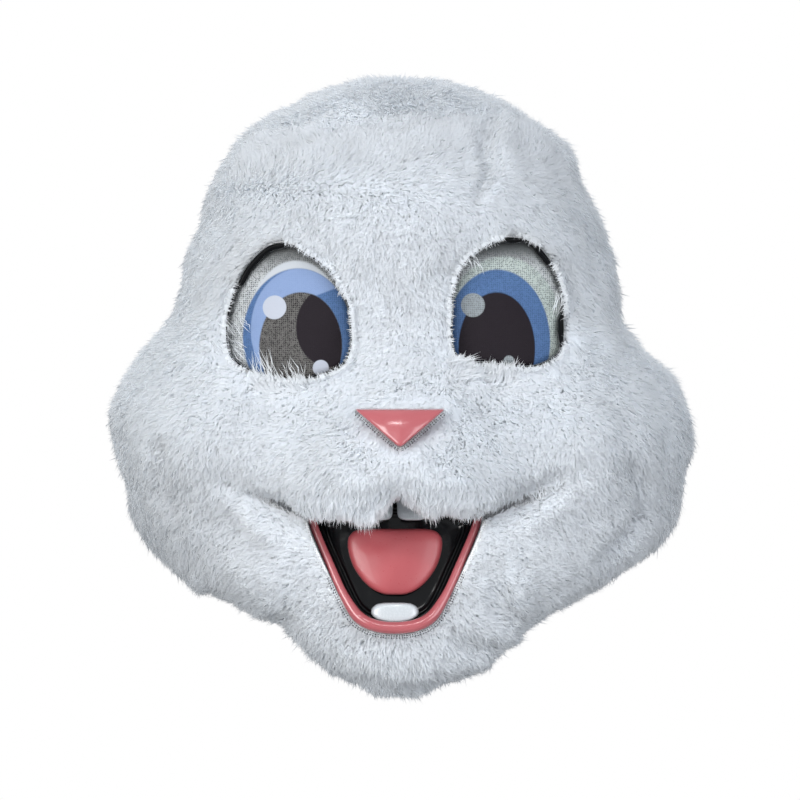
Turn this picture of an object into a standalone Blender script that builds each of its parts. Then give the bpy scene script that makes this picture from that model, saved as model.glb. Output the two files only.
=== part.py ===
"""Plush bunny costume head, hollow and open at the neck, as a Blender 4.5 script.

The plush cloth is a wall of its backing and pile, cut in seven panels that meet at seams, and bound
round the neck. A printed mesh closes each eye opening behind a black frame, and a moulded nose and mouth
sit in openings of the cloth. The face looks along -Y, +X is the right of a front view, and the origin is
inside the crown, where the wearer's head carries the costume head.
"""

import math

import bmesh
import bpy
from mathutils import Vector
from mathutils.bvhtree import BVHTree

MM = 0.001
WALL = 0.012  # backing cloth and pile together
SEAM = 0.0004  # between two panels
CLEAR = 0.00035  # round a piece set in the cloth
HEAD_TOP = 0.425  # above the lowest point of the chin
ORIGIN_HEIGHT = HEAD_TOP - WALL

FACE_STEP, BACK_STEP = 4, 6  # degrees between two columns of the cloth, in front and behind the side seams
SIDE_SEAM = 60  # degrees from the middle of the face
BACK_SEAM = 114
JAW_ROWS, FACE_ROWS, CROWN_ROWS = 8, 13, 3
FACE_ROW_POWER = 1.4  # above 1, the face's rows crowd towards the seam under the muzzle

# One row for each level from the neck rim to the top of the crown, in millimetres above the chin and from the
# head's axis. ahead is how far in front of the axis the level is widest.
LEVEL_COLUMNS = ("front_height", "side_height", "back_height", "left", "right", "front", "back", "ahead")
LEVELS = (
    (32, 58, 54, 104, 104, 88, 116, 0),
    (12, 63, 64, 126, 125, 104, 128, 2),
    (1, 71, 77, 148, 143, 121, 139, 6),
    (0, 83, 93, 163, 162, 140, 147, 11),
    (17, 98, 113, 175, 183, 155, 155, 17),
    (44, 119, 136, 187, 194, 163, 161, 23),
    (80, 143, 159, 192, 198, 168, 164, 27),
    (117, 168, 181, 199, 202, 170, 166, 28),
    (152, 191, 203, 201, 200, 169, 167, 26),
    (187, 213, 221, 192, 190, 163, 167, 22),
    (217, 234, 240, 178, 170, 157, 166, 17),
    (243, 253, 257, 162, 156, 151, 164, 13),
    (271, 275, 277, 155, 152, 147, 161, 10),
    (299, 300, 301, 149, 147, 142, 156, 7),
    (323, 323, 323, 140, 139, 135, 149, 5),
    (347, 347, 347, 133, 128, 125, 139, 3),
    (371, 371, 371, 120, 120, 108, 122, 1),
    (391, 391, 391, 100, 98, 88, 100, 0),
    (408, 408, 408, 70, 70, 63, 70, 0),
    (420, 420, 420, 36, 36, 33, 36, 0),
    (425, 425, 425, 0, 0, 0, 0, 0),
)
FRONT_SQUARENESS, BACK_SQUARENESS = 2.4, 2.1  # 2 is an ellipse in plan
CHIN_DROP_LEFT, CHIN_DROP_RIGHT = 5.4, 4.2  # how narrowly a level dips towards the chin

# Soft forms pushed out of the face, in millimetres from its middle and above the chin.
FORM_COLUMNS = ("across", "height", "half_width", "half_height", "push")
MUZZLE_FORMS = (
    (-40, 141, 43, 40, 29),
    (40, 141, 43, 40, 29),
    (0, 166, 42, 40, 21),
)
FACE_FORMS = (
    (-132, 172, 52, 46, 20),
    (134, 166, 52, 46, 20),
    (-72, 258, 46, 46, -11),
    (70, 260, 46, 46, -11),
    (0, 318, 86, 34, 6),
    (-92, 84, 40, 30, 7),
    (94, 84, 40, 30, 7),
    (0, 12, 42, 24, 5),
)

FORMS_FADE = 0.45  # the soft forms fade to nothing from here to the sides, as a cosine of the turn
MUZZLE_ROLL, MUZZLE_ROLL_LEFT = 0.034, 0.30  # height of its roll under, and the push left at its seam

# The seam under the muzzle, level over the mouth and rising across the cheeks.
SMILE_HEIGHT, SMILE_HALF, SMILE_RISE, SMILE_SOFT = 0.1165, 0.056, 0.52, 0.010
CLEFT_ACROSS, CLEFT_HALF, CLEFT_RISE = -0.001, 0.013, 0.0090  # the parting of the muzzle over the upper teeth
CROWN_SEAM_HEIGHT, CROWN_SEAM_TILT = 0.390, 0.10

EYES = {"left": (-0.072, 0.2600, 0.0405), "right": (0.070, 0.2615, 0.0390)}  # across, height, half width
EYE_HALF_HEIGHT = 0.0455
EYE_POINTS = 40
FRAME_WALL, FRAME_RECESS, FRAME_DEPTH = 0.0035, 0.0050, 0.0150
MESH_THICKNESS, MESH_RECESS, MESH_BULGE = 0.0015, 0.0105, 0.0030

NOSE_HEIGHT, NOSE_HALF_WIDTH, NOSE_TALL, NOSE_CORNER = 0.1655, 0.0305, 0.0270, 0.0064
NOSE_STEPS = 4  # on each corner and each side
# Each opening is cut from the first to the second of these, along Y.
CUT_EYE, CUT_NOSE, CUT_MOUTH = (-0.30, -0.05), (-0.30, -0.12), (-0.30, -0.125)

MOUTH_ACROSS, MOUTH_LOW = -0.0033, 0.046
MOUTH_FRONT, MOUTH_LEAN, MOUTH_BEND = -0.1640, 0.16, 2.0  # at the lower lip, back per height, curve across
LIP_RADIUS, LIP_TUCK = 0.0040, 0.0022  # the bar's ends stop just under the muzzle's seam
# Half outlines, in millimetres from the mouth's middle and above its low point, from the top middle round
# to the low middle.
DISH_HALF = ((0, 88), (40, 87), (54, 81), (56.5, 71), (43, 39), (32, 16), (24.5, 6.5), (13.5, 1.4), (0, 0))
TONGUE_HALF = ((0, 67.5), (22, 67.2), (29.5, 63.5), (31, 56), (28, 44.5), (22, 35), (15, 28.5), (7.5, 25.2),
               (0, 24.7))
LOWER_TOOTH_HALF = ((0, 19.8), (10, 19.2), (14.6, 16.2), (14.8, 12), (11, 9), (5, 7.7), (0, 7.4))
UPPER_TOOTH_HALF = ((0, 92.5), (9, 91.5), (10, 83), (8.5, 75), (0, 73.5))
UPPER_TOOTH_GAP = 0.0030
OUTLINE_STEPS = 3  # curve pieces between two outline points
# Profiles of the moulded pieces: share of the outline and millimetres behind the mouth's face, from the
# front middle round the edge to the back middle.
DISH_PROFILE = ((0, 15), (0.45, 15), (0.76, 14), (0.87, 11.5), (0.91, 6.35), (0.92, 4.35), (1, 4.35),
                (1, 6.35), (0.97, 8.35), (0.93, 15), (0.80, 17.2), (0.45, 17.2), (0, 17.2))
TONGUE_PROFILE = ((0, 4.5), (0.35, 5), (0.65, 6.5), (0.88, 9), (1, 12), (0.97, 13.15), (0.86, 13.15),
                  (0.7, 13.45), (0.4, 14.65), (0, 14.65))
LOWER_TOOTH_PROFILE = ((0, 1), (0.5, 1.4), (0.85, 2.8), (1, 5), (1, 7.5), (0.8, 12.4), (0, 13.8))
UPPER_TOOTH_PROFILE = ((0, -0.2), (0.6, 0), (0.92, 1), (1, 2.4), (1, 4), (0, 4))
NOSE_PROFILE = ((0, -3.5), (0.25, -3.4), (0.5, -2.6), (0.75, -0.5), (0.92, 2), (1, 6), (1, 12), (0.6, 12),
                (0, 12))
MESH_SHARES = (0, 0.35, 0.7, 1)

BINDING_GAP, BINDING_THICKNESS, BINDING_STEPS = 0.0008, 0.0025, 60


def clear_scene():
    for obj in list(bpy.data.objects):
        bpy.data.objects.remove(obj)


def collection_named(name):
    made = bpy.data.collections.new(name)
    bpy.context.scene.collection.children.link(made)
    return made


def material_named(name, colour, roughness, metallic=0.0):
    made = bpy.data.materials.new(name)
    made.use_nodes = True
    shader = made.node_tree.nodes["Principled BSDF"]
    shader.inputs["Base Color"].default_value = (*colour, 1.0)
    shader.inputs["Roughness"].default_value = roughness
    shader.inputs["Metallic"].default_value = metallic
    return made


def smooth_step(low, high, value):
    share = min(max((value - low) / (high - low), 0.0), 1.0)
    return share * share * (3 - 2 * share)


def through(before, start, end, after, share):
    """A smooth curve through start and end, as Catmull and Rom draw it."""
    slope_in, slope_out = (end - before) / 2, (after - start) / 2
    square, cube = share * share, share**3
    return (
        start * (2 * cube - 3 * square + 1)
        + slope_in * (cube - 2 * square + share)
        + end * (3 * square - 2 * cube)
        + slope_out * (cube - square)
    )


def level_sizes(level):
    """The columns of LEVELS at any level between its rows, in metres."""
    last = len(LEVELS) - 1
    level = min(max(level, 0.0), last)
    row = min(int(level), last - 1)
    rows = [LEVELS[min(max(row + step, 0), last)] for step in (-1, 0, 1, 2)]
    sizes = {}
    for index, name in enumerate(LEVEL_COLUMNS):
        before, start, end, after = (r[index] for r in rows)
        if row == 0:
            before = 2 * start - end
        if row == last - 1:
            after = start
            after = -start if name in ("left", "right", "front", "back") else start
        sizes[name] = through(before, start, end, after, level - row) * MM
    return sizes


def pushed_out(across, height, forms):
    """How far the soft forms push the face forward at a place."""
    total = 0.0
    for form in forms:
        size = dict(zip(FORM_COLUMNS, form))
        wide = (across / MM - size["across"]) / size["half_width"]
        tall = (height / MM - size["height"]) / size["half_height"]
        total += size["push"] * MM * math.exp(-wide * wide - tall * tall)
    return total


def rolled_under(across, height):
    """The share of the muzzle's push that is left where it rolls under towards its seam."""
    above = min(max((height - smile_height(across)) / MUZZLE_ROLL, 0.0), 1.0)
    return MUZZLE_ROLL_LEFT + (1 - MUZZLE_ROLL_LEFT) * math.sqrt(1 - (1 - above) ** 2)


def head_point(turn, level, muzzle=False):
    """A point of the plush surface. turn is in radians from the middle of the face towards +X."""
    ahead, aside = math.cos(turn), math.sin(turn)
    size = level_sizes(level)
    squareness = FRONT_SQUARENESS if ahead > 0 else BACK_SQUARENESS
    spread = (abs(ahead) ** squareness + abs(aside) ** squareness) ** (-1 / squareness)
    across = (size["right"] if aside > 0 else size["left"]) * spread * aside
    depth = size["front"] - size["ahead"] if ahead > 0 else size["back"] + size["ahead"]
    end_height = size["front_height"] if ahead > 0 else size["back_height"]
    drop = CHIN_DROP_RIGHT if aside > 0 else CHIN_DROP_LEFT
    height = size["side_height"] + (end_height - size["side_height"]) * abs(ahead) ** drop
    push = 0.0
    if ahead > 0:
        push = pushed_out(across, height, FACE_FORMS)
        if muzzle:
            push += pushed_out(across, height, MUZZLE_FORMS) * rolled_under(across, height)
        push *= smooth_step(0.0, FORMS_FADE, ahead)
    return Vector((across, -size["ahead"] - depth * spread * ahead - push, height))


def head_normal(turn, level, muzzle=False):
    """The outward normal of the plush surface."""
    top = len(LEVELS) - 1
    if level > top - 0.01:
        return Vector((0, 0, 1))
    small = 0.004
    low, high = max(level - small, 0.0), min(level + small, top)
    up = head_point(turn, high, muzzle) - head_point(turn, low, muzzle)
    around = head_point(turn + small, level, muzzle) - head_point(turn - small, level, muzzle)
    return around.cross(up).normalized()


def level_where(turn, height_at, low, high):
    """The level at which a column of the head crosses a seam, found by halving."""
    for _ in range(40):
        middle = (low + high) / 2
        point = head_point(turn, middle)
        if point.z < height_at(point.x):
            low = middle
        else:
            high = middle
    return (low + high) / 2


def smile_height(across):
    beyond = abs(across - MOUTH_ACROSS) - SMILE_HALF
    rising = (beyond + math.sqrt(beyond * beyond + SMILE_SOFT * SMILE_SOFT)) / 2
    cleft = CLEFT_RISE * math.exp(-(((across - CLEFT_ACROSS) / CLEFT_HALF) ** 2))
    return SMILE_HEIGHT + SMILE_RISE * rising + cleft


def crown_height(across):
    return CROWN_SEAM_HEIGHT + CROWN_SEAM_TILT * across


def column_levels(degrees):
    """The levels of one column's grid points, from the rim over both seams to the top."""
    turn = math.radians(degrees)
    seam_turn = math.radians(min(max(degrees, -SIDE_SEAM), SIDE_SEAM))
    smile = level_where(seam_turn, smile_height, 5.0, 10.0)
    crown = level_where(turn, crown_height, 14.0, 19.5)
    top = len(LEVELS) - 1
    levels = [smile * row / JAW_ROWS for row in range(JAW_ROWS)]
    levels += [smile + (crown - smile) * (row / FACE_ROWS) ** FACE_ROW_POWER for row in range(FACE_ROWS)]
    levels += [crown + (top - crown) * row / CROWN_ROWS for row in range(CROWN_ROWS)]
    return [*levels, top]


def mesh_object(name, points, faces, collection, material, smooth=True):
    mesh = bpy.data.meshes.new(name)
    mesh.from_pydata([tuple(p - Vector((0, 0, ORIGIN_HEIGHT))) for p in points], [], faces)
    mesh.validate()
    bm = bmesh.new()
    bm.from_mesh(mesh)
    bmesh.ops.recalc_face_normals(bm, faces=bm.faces)
    bm.to_mesh(mesh)
    bm.free()
    if smooth:
        mesh.shade_smooth()
    made = bpy.data.objects.new(name, mesh)
    made.data.materials.append(material)
    collection.objects.link(made)
    return made


def panel(name, first, last, low_row, high_row, muzzle, collection, material):
    """A cloth wall over the columns from first to last degrees and between two rows of the grid."""
    columns_all = [*range(-180, -SIDE_SEAM, BACK_STEP), *range(-SIDE_SEAM, SIDE_SEAM, FACE_STEP)]
    columns_all += range(SIDE_SEAM, 181, BACK_STEP)
    degrees = [angle for angle in columns_all if first <= angle <= last]
    rows = list(range(low_row, high_row + 1))
    whole_turn = last - first == 360
    if whole_turn:
        degrees.pop()
    outer, inner = [], []
    for angle in degrees:
        turn, levels = math.radians(angle), column_levels(angle)
        outer.append([head_point(turn, levels[row], muzzle) for row in rows])
        normals = [head_normal(turn, levels[row], muzzle) for row in rows]
        inner.append([point - normal * WALL for point, normal in zip(outer[-1], normals)])
    half = SEAM / 2
    at_pole = high_row == JAW_ROWS + FACE_ROWS + CROWN_ROWS
    for side in (outer, inner):
        if not whole_turn:
            for edge, within in ((0, 1), (-1, -2)):
                for row in range(len(rows)):
                    step = side[within][row] - side[edge][row]
                    side[edge][row] = side[edge][row] + step.normalized() * half
        for column in side:
            if low_row > 0:
                column[0] = column[0] + (column[1] - column[0]).normalized() * half
            if not at_pole:
                column[-1] = column[-1] + (column[-2] - column[-1]).normalized() * half
    points, faces, index = [], [], {}

    def corner(side, column, row):
        if at_pole and row == len(rows) - 1:
            column = 0
        key = (side, column, row)
        if key not in index:
            index[key] = len(points)
            points.append((outer if side else inner)[column][row])
        return index[key]

    columns = len(degrees)
    spans = range(columns if whole_turn else columns - 1)

    def face(corners):
        distinct = list(dict.fromkeys(corners))
        if len(distinct) > 2:
            faces.append(distinct)

    def edge_faces(here, beyond):
        """The cut edge between two places of the grid, split the same way on both sides of a seam."""
        face([corner(True, *here), corner(True, *beyond), corner(False, *beyond)])
        face([corner(True, *here), corner(False, *beyond), corner(False, *here)])

    for column in spans:
        after = (column + 1) % columns
        for row in range(len(rows) - 1):
            around = ((column, row), (after, row), (after, row + 1), (column, row + 1))
            for side in (True, False):
                face([corner(side, *place) for place in around])
        for row in (0,) if at_pole else (0, len(rows) - 1):
            edge_faces((column, row), (after, row))
    if not whole_turn:
        for column in (0, columns - 1):
            for row in range(len(rows) - 1):
                edge_faces((column, row), (column, row + 1))
    return mesh_object(name, points, faces, collection, material)


def egg_outline(across, height, half_width, half_height, shrink=0.0):
    """A tall eye opening: round above, fuller and flatter below."""
    outline = []
    for step in range(EYE_POINTS):
        angle = math.tau * step / EYE_POINTS
        wide, tall = math.sin(angle), math.cos(angle)
        fuller = 1.0 - 0.10 * tall
        flatter = 1.0 if tall > 0 else 0.94
        outline.append((
            across + (half_width - shrink) * wide * fuller,
            height + (half_height - shrink) * tall * flatter,
        ))
    return outline


def half_outline(half, across, low=0.0):
    """A closed outline from half of one, rounded through its points and mirrored about its middle."""
    ring = [Vector((x * MM, z * MM)) for x, z in half]
    ring += [Vector((-p.x, p.y)) for p in reversed(ring[1:-1])]
    count = len(ring)
    outline = []
    for i in range(count):
        before, start, end, after = (ring[(i + step) % count] for step in (-1, 0, 1, 2))
        for step in range(OUTLINE_STEPS):
            point = through(before, start, end, after, step / OUTLINE_STEPS)
            outline.append((point.x + across, point.y + low))
    return outline


def moved_edge(outline, outward):
    """The outline with each point moved along its own normal, outwards if positive."""
    count = len(outline)
    nexts = [outline[(i + 1) % count] for i in range(count)]
    turning = sum(x * after_z - after_x * z for (x, z), (after_x, after_z) in zip(outline, nexts))
    sign = 1 if turning > 0 else -1
    moved = []
    for i, (x, z) in enumerate(outline):
        before, after = outline[i - 1], nexts[i]
        along = Vector((after[0] - before[0], after[1] - before[1])).normalized()
        moved.append((x + sign * along.y * outward, z - sign * along.x * outward))
    return moved


def prism(name, outline, near, far, collection):
    """A cutter: an outline in the front view, extruded from near to far along Y."""
    bm = bmesh.new()
    face = bm.faces.new([bm.verts.new((x, near, z - ORIGIN_HEIGHT)) for x, z in outline])
    extruded = bmesh.ops.extrude_face_region(bm, geom=[face])
    moved = [item for item in extruded["geom"] if isinstance(item, bmesh.types.BMVert)]
    bmesh.ops.translate(bm, verts=moved, vec=(0, far - near, 0))
    bmesh.ops.recalc_face_normals(bm, faces=bm.faces)
    mesh = bpy.data.meshes.new(name)
    bm.to_mesh(mesh)
    bm.free()
    made = bpy.data.objects.new(name, mesh)
    collection.objects.link(made)
    made.hide_render = True
    made.display_type = "WIRE"
    return made


def cut(target, cutter):
    modifier = target.modifiers.new("cut_" + cutter.name, "BOOLEAN")
    modifier.operation = "DIFFERENCE"
    modifier.solver = "EXACT"
    modifier.object = cutter


def centre_of(outline):
    return (
        sum(x for x, _ in outline) / len(outline),
        (max(z for _, z in outline) + min(z for _, z in outline)) / 2,
    )


def pad(name, outline, profile, depth_at, collection, material):
    """A moulded pad or bowl over an outline, with its profile behind the face that depth_at gives."""
    middle_x, middle_z = centre_of(outline)
    count, last = len(outline), len(profile) - 3

    def place(share, behind, x, z):
        px, pz = middle_x + (x - middle_x) * share, middle_z + (z - middle_z) * share
        return Vector((px, depth_at(px, pz) + behind * MM, pz))

    points = [place(share, behind, x, z) for share, behind in profile[1:-1] for x, z in outline]
    faces = []
    for loop in range(last):
        low, high = loop * count, (loop + 1) * count
        faces += [[low + i, low + (i + 1) % count, high + (i + 1) % count, high + i] for i in range(count)]
    for (share, behind), loop in ((profile[0], 0), (profile[-1], last)):
        points.append(place(share, behind, middle_x, middle_z))
        tip, low = len(points) - 1, loop * count
        faces += [[low + i, low + (i + 1) % count, tip] for i in range(count)]
    return mesh_object(name, points, faces, collection, material)


def closed_ring(name, loops, collection, material):
    """A ring whose cross-section has one corner on each loop of points."""
    count = len(loops[0])
    points = [point for loop in loops for point in loop]
    faces = []
    for corner in range(len(loops)):
        here, there = corner * count, (corner + 1) % len(loops) * count
        for i in range(count):
            after = (i + 1) % count
            faces.append([here + i, here + after, there + after, there + i])
    return mesh_object(name, points, faces, collection, material)


def plush_surface():
    """The whole outer surface of the face, to find how far forward the plush stands at a place."""
    degrees = range(-84, 85, 3)
    levels = [step / 3 for step in range(0, 3 * (len(LEVELS) - 1))]
    points = [head_point(math.radians(a), level, muzzle=True) for a in degrees for level in levels]
    rows = len(levels)
    faces = [
        [c * rows + r, (c + 1) * rows + r, (c + 1) * rows + r + 1, c * rows + r + 1]
        for c in range(len(degrees) - 1)
        for r in range(rows - 1)
    ]
    return BVHTree.FromPolygons(points, faces)


def plush_front(tree, across, height):
    hit = tree.ray_cast(Vector((across, -1.0, height)), Vector((0, 1, 0)))[0]
    return hit.y


def mouth_depth(across, height):
    """The moulded mouth's own face: it leans back with height and curves back towards its corners."""
    from_middle = across - MOUTH_ACROSS
    return MOUTH_FRONT + MOUTH_LEAN * (height - MOUTH_LOW) + MOUTH_BEND * from_middle * from_middle


def make_plush(collection, material):
    smile, crown = JAW_ROWS, JAW_ROWS + FACE_ROWS
    top = crown + CROWN_ROWS
    parts = {
        "face_panel": (-SIDE_SEAM, SIDE_SEAM, smile, crown, True),
        "jaw_panel": (-SIDE_SEAM, SIDE_SEAM, 0, smile, False),
        "side_panel_left": (-BACK_SEAM, -SIDE_SEAM, 0, crown, False),
        "side_panel_right": (SIDE_SEAM, BACK_SEAM, 0, crown, False),
        "back_panel_left": (-180, -BACK_SEAM, 0, crown, False),
        "back_panel_right": (BACK_SEAM, 180, 0, crown, False),
        "crown_panel": (-180, 180, crown, top, False),
    }
    return {name: panel(name, *where, collection, material) for name, where in parts.items()}


def make_neck_binding(collection, material):
    """The band that binds the cloth's edge round the open neck."""
    near, far = BINDING_GAP, BINDING_GAP + BINDING_THICKNESS
    loops = [[], [], [], []]
    for step in range(BINDING_STEPS):
        turn = math.tau * step / BINDING_STEPS - math.pi
        edge, beyond = head_point(turn, 0.0), head_point(turn, 0.15)
        away = (edge - beyond).normalized()
        inside = edge - head_normal(turn, 0.0) * WALL
        corners = (edge + away * near, inside + away * near, inside + away * far, edge + away * far)
        for loop, point in zip(loops, corners):
            loop.append(point)
    return closed_ring("neck_binding", loops, collection, material)


def make_eye(side, tree, collection, cutters, face, black, printed):
    across, height, half_width = EYES[side]
    opening = egg_outline(across, height, half_width, EYE_HALF_HEIGHT)
    cut(face, prism("cut_eye_" + side, opening, *CUT_EYE, cutters))
    outer = egg_outline(across, height, half_width, EYE_HALF_HEIGHT, CLEAR)
    inner = egg_outline(across, height, half_width, EYE_HALF_HEIGHT, CLEAR + FRAME_WALL)
    fronts = [plush_front(tree, x, z) + FRAME_RECESS for x, z in outer]
    loops = [
        [Vector((x, y + FRAME_DEPTH, z)) for (x, z), y in zip(outer, fronts)],
        [Vector((x, y, z)) for (x, z), y in zip(outer, fronts)],
        [Vector((x, y + 0.0006, z)) for (x, z), y in zip(inner, fronts)],
        [Vector((x, y + FRAME_DEPTH, z)) for (x, z), y in zip(inner, fronts)],
    ]
    closed_ring("eye_frame_" + side, loops, collection, black)
    seat = egg_outline(across, height, half_width, EYE_HALF_HEIGHT, 2 * CLEAR + FRAME_WALL)

    def mesh_depth(x, z):
        wide, tall = (x - across) / half_width, (z - height) / EYE_HALF_HEIGHT
        edge = min(math.hypot(wide, tall), 1.0)
        reach = max(edge, 0.001)
        rim_x, rim_z = across + (x - across) / reach * 0.9, height + (z - height) / reach * 0.9
        far_x, far_z = 2 * across - rim_x, 2 * height - rim_z
        near, far = plush_front(tree, rim_x, rim_z), plush_front(tree, far_x, far_z)
        chord = (near + far) / 2 + (near - far) / 2 * edge
        return chord + MESH_RECESS + FRAME_RECESS - MESH_BULGE * (1 - edge * edge)

    front = [(share, 0) for share in MESH_SHARES]
    back = [(share, MESH_THICKNESS / MM) for share in reversed(MESH_SHARES)]
    pad("eye_mesh_" + side, seat, front + back, mesh_depth, collection, printed)


def make_nose(tree, collection, cutters, face, pink):
    """A rounded triangle, point down, domed and set in its opening in the plush."""
    low, high = NOSE_HEIGHT, NOSE_HEIGHT + NOSE_TALL
    corners = [Vector(c) for c in ((-NOSE_HALF_WIDTH, high), (NOSE_HALF_WIDTH, high), (0.0, low))]
    outline = []
    for i, here in enumerate(corners):
        before, after = corners[i - 1], corners[(i + 1) % 3]
        start = here + (before - here).normalized() * NOSE_CORNER
        end = here + (after - here).normalized() * NOSE_CORNER
        beyond = after + (here - after).normalized() * NOSE_CORNER
        for step in range(NOSE_STEPS):
            share = step / NOSE_STEPS
            outline.append(tuple(start.lerp(here, share).lerp(here.lerp(end, share), share)))
        outline += [tuple(end.lerp(beyond, step / NOSE_STEPS)) for step in range(NOSE_STEPS)]
    cut(face, prism("cut_nose", moved_edge(outline, CLEAR), *CUT_NOSE, cutters))
    pad("nose", outline, NOSE_PROFILE, lambda x, z: plush_front(tree, x, z), collection, pink)


def make_lip(collection, pink):
    """A round bar along the sides and the bottom of the mouth."""
    outline = moved_edge(half_outline(DISH_HALF, MOUTH_ACROSS, MOUTH_LOW), -LIP_RADIUS)
    ends = SMILE_HEIGHT - LIP_TUCK
    bar = [(x, z) for x, z in outline if z < ends]
    bar.sort(key=lambda p: math.atan2(p[0] - MOUTH_ACROSS, MOUTH_LOW + 0.06 - p[1]))
    curve = bpy.data.curves.new("mouth_lip", "CURVE")
    curve.dimensions = "3D"
    curve.bevel_depth = LIP_RADIUS
    curve.bevel_resolution = 2
    curve.use_fill_caps = True
    spline = curve.splines.new("POLY")
    spline.points.add(len(bar) - 1)
    for point, (x, z) in zip(spline.points, bar):
        point.co = (x, mouth_depth(x, z), z - ORIGIN_HEIGHT, 1.0)
    guide = bpy.data.objects.new("mouth_lip_guide", curve)
    collection.objects.link(guide)
    bpy.context.view_layer.update()
    mesh = bpy.data.meshes.new_from_object(guide.evaluated_get(bpy.context.evaluated_depsgraph_get()))
    bpy.data.objects.remove(guide)
    bm = bmesh.new()
    bm.from_mesh(mesh)
    bmesh.ops.remove_doubles(bm, verts=bm.verts, dist=0.00001)
    bmesh.ops.recalc_face_normals(bm, faces=bm.faces)
    bm.to_mesh(mesh)
    bm.free()
    mesh.shade_smooth()
    lip = bpy.data.objects.new("mouth_lip", mesh)
    lip.data.materials.append(pink)
    collection.objects.link(lip)


def make_mouth(collection, cutters, jaw, pink, black, white, tongue_pink):
    dish = half_outline(DISH_HALF, MOUTH_ACROSS, MOUTH_LOW)
    cut(jaw, prism("cut_mouth", moved_edge(dish, CLEAR), *CUT_MOUTH, cutters))
    make_lip(collection, pink)
    pad("mouth_dish", moved_edge(dish, -CLEAR), DISH_PROFILE, mouth_depth, collection, black)
    tongue = half_outline(TONGUE_HALF, MOUTH_ACROSS, MOUTH_LOW)
    pad("tongue", tongue, TONGUE_PROFILE, mouth_depth, collection, tongue_pink)
    lower = half_outline(LOWER_TOOTH_HALF, MOUTH_ACROSS, MOUTH_LOW)
    pad("lower_tooth", lower, LOWER_TOOTH_PROFILE, mouth_depth, collection, white)
    width = 2 * MM * max(x for x, _ in UPPER_TOOTH_HALF)
    for side, sign in (("left", -1), ("right", 1)):
        middle = MOUTH_ACROSS + sign * (UPPER_TOOTH_GAP + width) / 2
        upper = half_outline(UPPER_TOOTH_HALF, middle, MOUTH_LOW)
        pad("upper_tooth_" + side, upper, UPPER_TOOTH_PROFILE, mouth_depth, collection, white)


def main():
    clear_scene()
    parts, cutters = collection_named("plush_bunny_head"), collection_named("cutters")
    plush = material_named("plush", (0.66, 0.72, 0.78), 0.95)
    binding = material_named("neck_band", (0.70, 0.73, 0.77), 0.85)
    black = material_named("black_gloss", (0.010, 0.011, 0.012), 0.18)
    printed = material_named("eye_print", (0.10, 0.19, 0.34), 0.75)
    pink = material_named("pink_plastic", (0.50, 0.13, 0.15), 0.22)
    tongue_pink = material_named("tongue_pink", (0.56, 0.14, 0.15), 0.28)
    white = material_named("tooth_white", (0.82, 0.84, 0.86), 0.20)
    cloth = make_plush(parts, plush)
    tree = plush_surface()
    make_neck_binding(parts, binding)
    for side in EYES:
        make_eye(side, tree, parts, cutters, cloth["face_panel"], black, printed)
    make_nose(tree, parts, cutters, cloth["face_panel"], pink)
    make_mouth(parts, cutters, cloth["jaw_panel"], pink, black, white, tongue_pink)


main()
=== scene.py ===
"""Plush bunny costume head: the looks.

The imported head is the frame. Each plush panel becomes a thin backing cloth with its folds and a pile of
fine curved locks on it. The printed eye meshes, the moulded nose and mouth, their stitches and the neck
binding are made again with fine surfaces. The face looks along -Y and the crown is up.
"""

import math

import bmesh
import bpy
import numpy as np
from bpy.props import FloatProperty, FloatVectorProperty, PointerProperty
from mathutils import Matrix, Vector
from mathutils.bvhtree import BVHTree


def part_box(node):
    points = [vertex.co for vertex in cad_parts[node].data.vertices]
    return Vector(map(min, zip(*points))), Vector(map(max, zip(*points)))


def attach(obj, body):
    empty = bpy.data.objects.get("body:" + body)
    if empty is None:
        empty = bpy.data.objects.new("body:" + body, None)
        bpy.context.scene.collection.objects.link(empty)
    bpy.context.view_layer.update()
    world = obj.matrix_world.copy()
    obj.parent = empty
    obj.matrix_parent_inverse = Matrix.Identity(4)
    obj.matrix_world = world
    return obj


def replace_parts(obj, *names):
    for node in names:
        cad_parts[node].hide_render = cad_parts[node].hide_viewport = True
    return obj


bl_info = {
    "name": "Plush bunny costume head",
    "version": (1, 0, 0),
    "blender": (4, 5, 0),
    "location": "View3D > Sidebar > Costume head",
    "description": "Builds the pile, cloth, eyes, nose and mouth of a plush costume head round its frame",
    "category": "Add Mesh",
}

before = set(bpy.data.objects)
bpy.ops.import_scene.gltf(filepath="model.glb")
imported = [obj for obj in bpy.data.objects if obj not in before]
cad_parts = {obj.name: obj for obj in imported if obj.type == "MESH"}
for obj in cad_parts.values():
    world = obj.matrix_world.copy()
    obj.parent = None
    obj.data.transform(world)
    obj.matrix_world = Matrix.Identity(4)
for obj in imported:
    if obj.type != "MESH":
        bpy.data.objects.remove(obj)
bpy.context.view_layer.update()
BODY = "root"

MM = 0.001
WALL = 0.012  # backing cloth and pile together
PILE = 0.009  # from the backing cloth to the tips
CLOTH = 0.0025
SEAM_GAP = 0.0004
CLEAR = 0.00035
HEAD_TOP = 0.425  # above the lowest point of the chin
ORIGIN_HEIGHT = HEAD_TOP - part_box("crown_panel")[1].z

SIDE_SEAM, BACK_SEAM = 60, 114  # degrees from the middle of the face
FACE_ROW_POWER = 1.4

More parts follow.
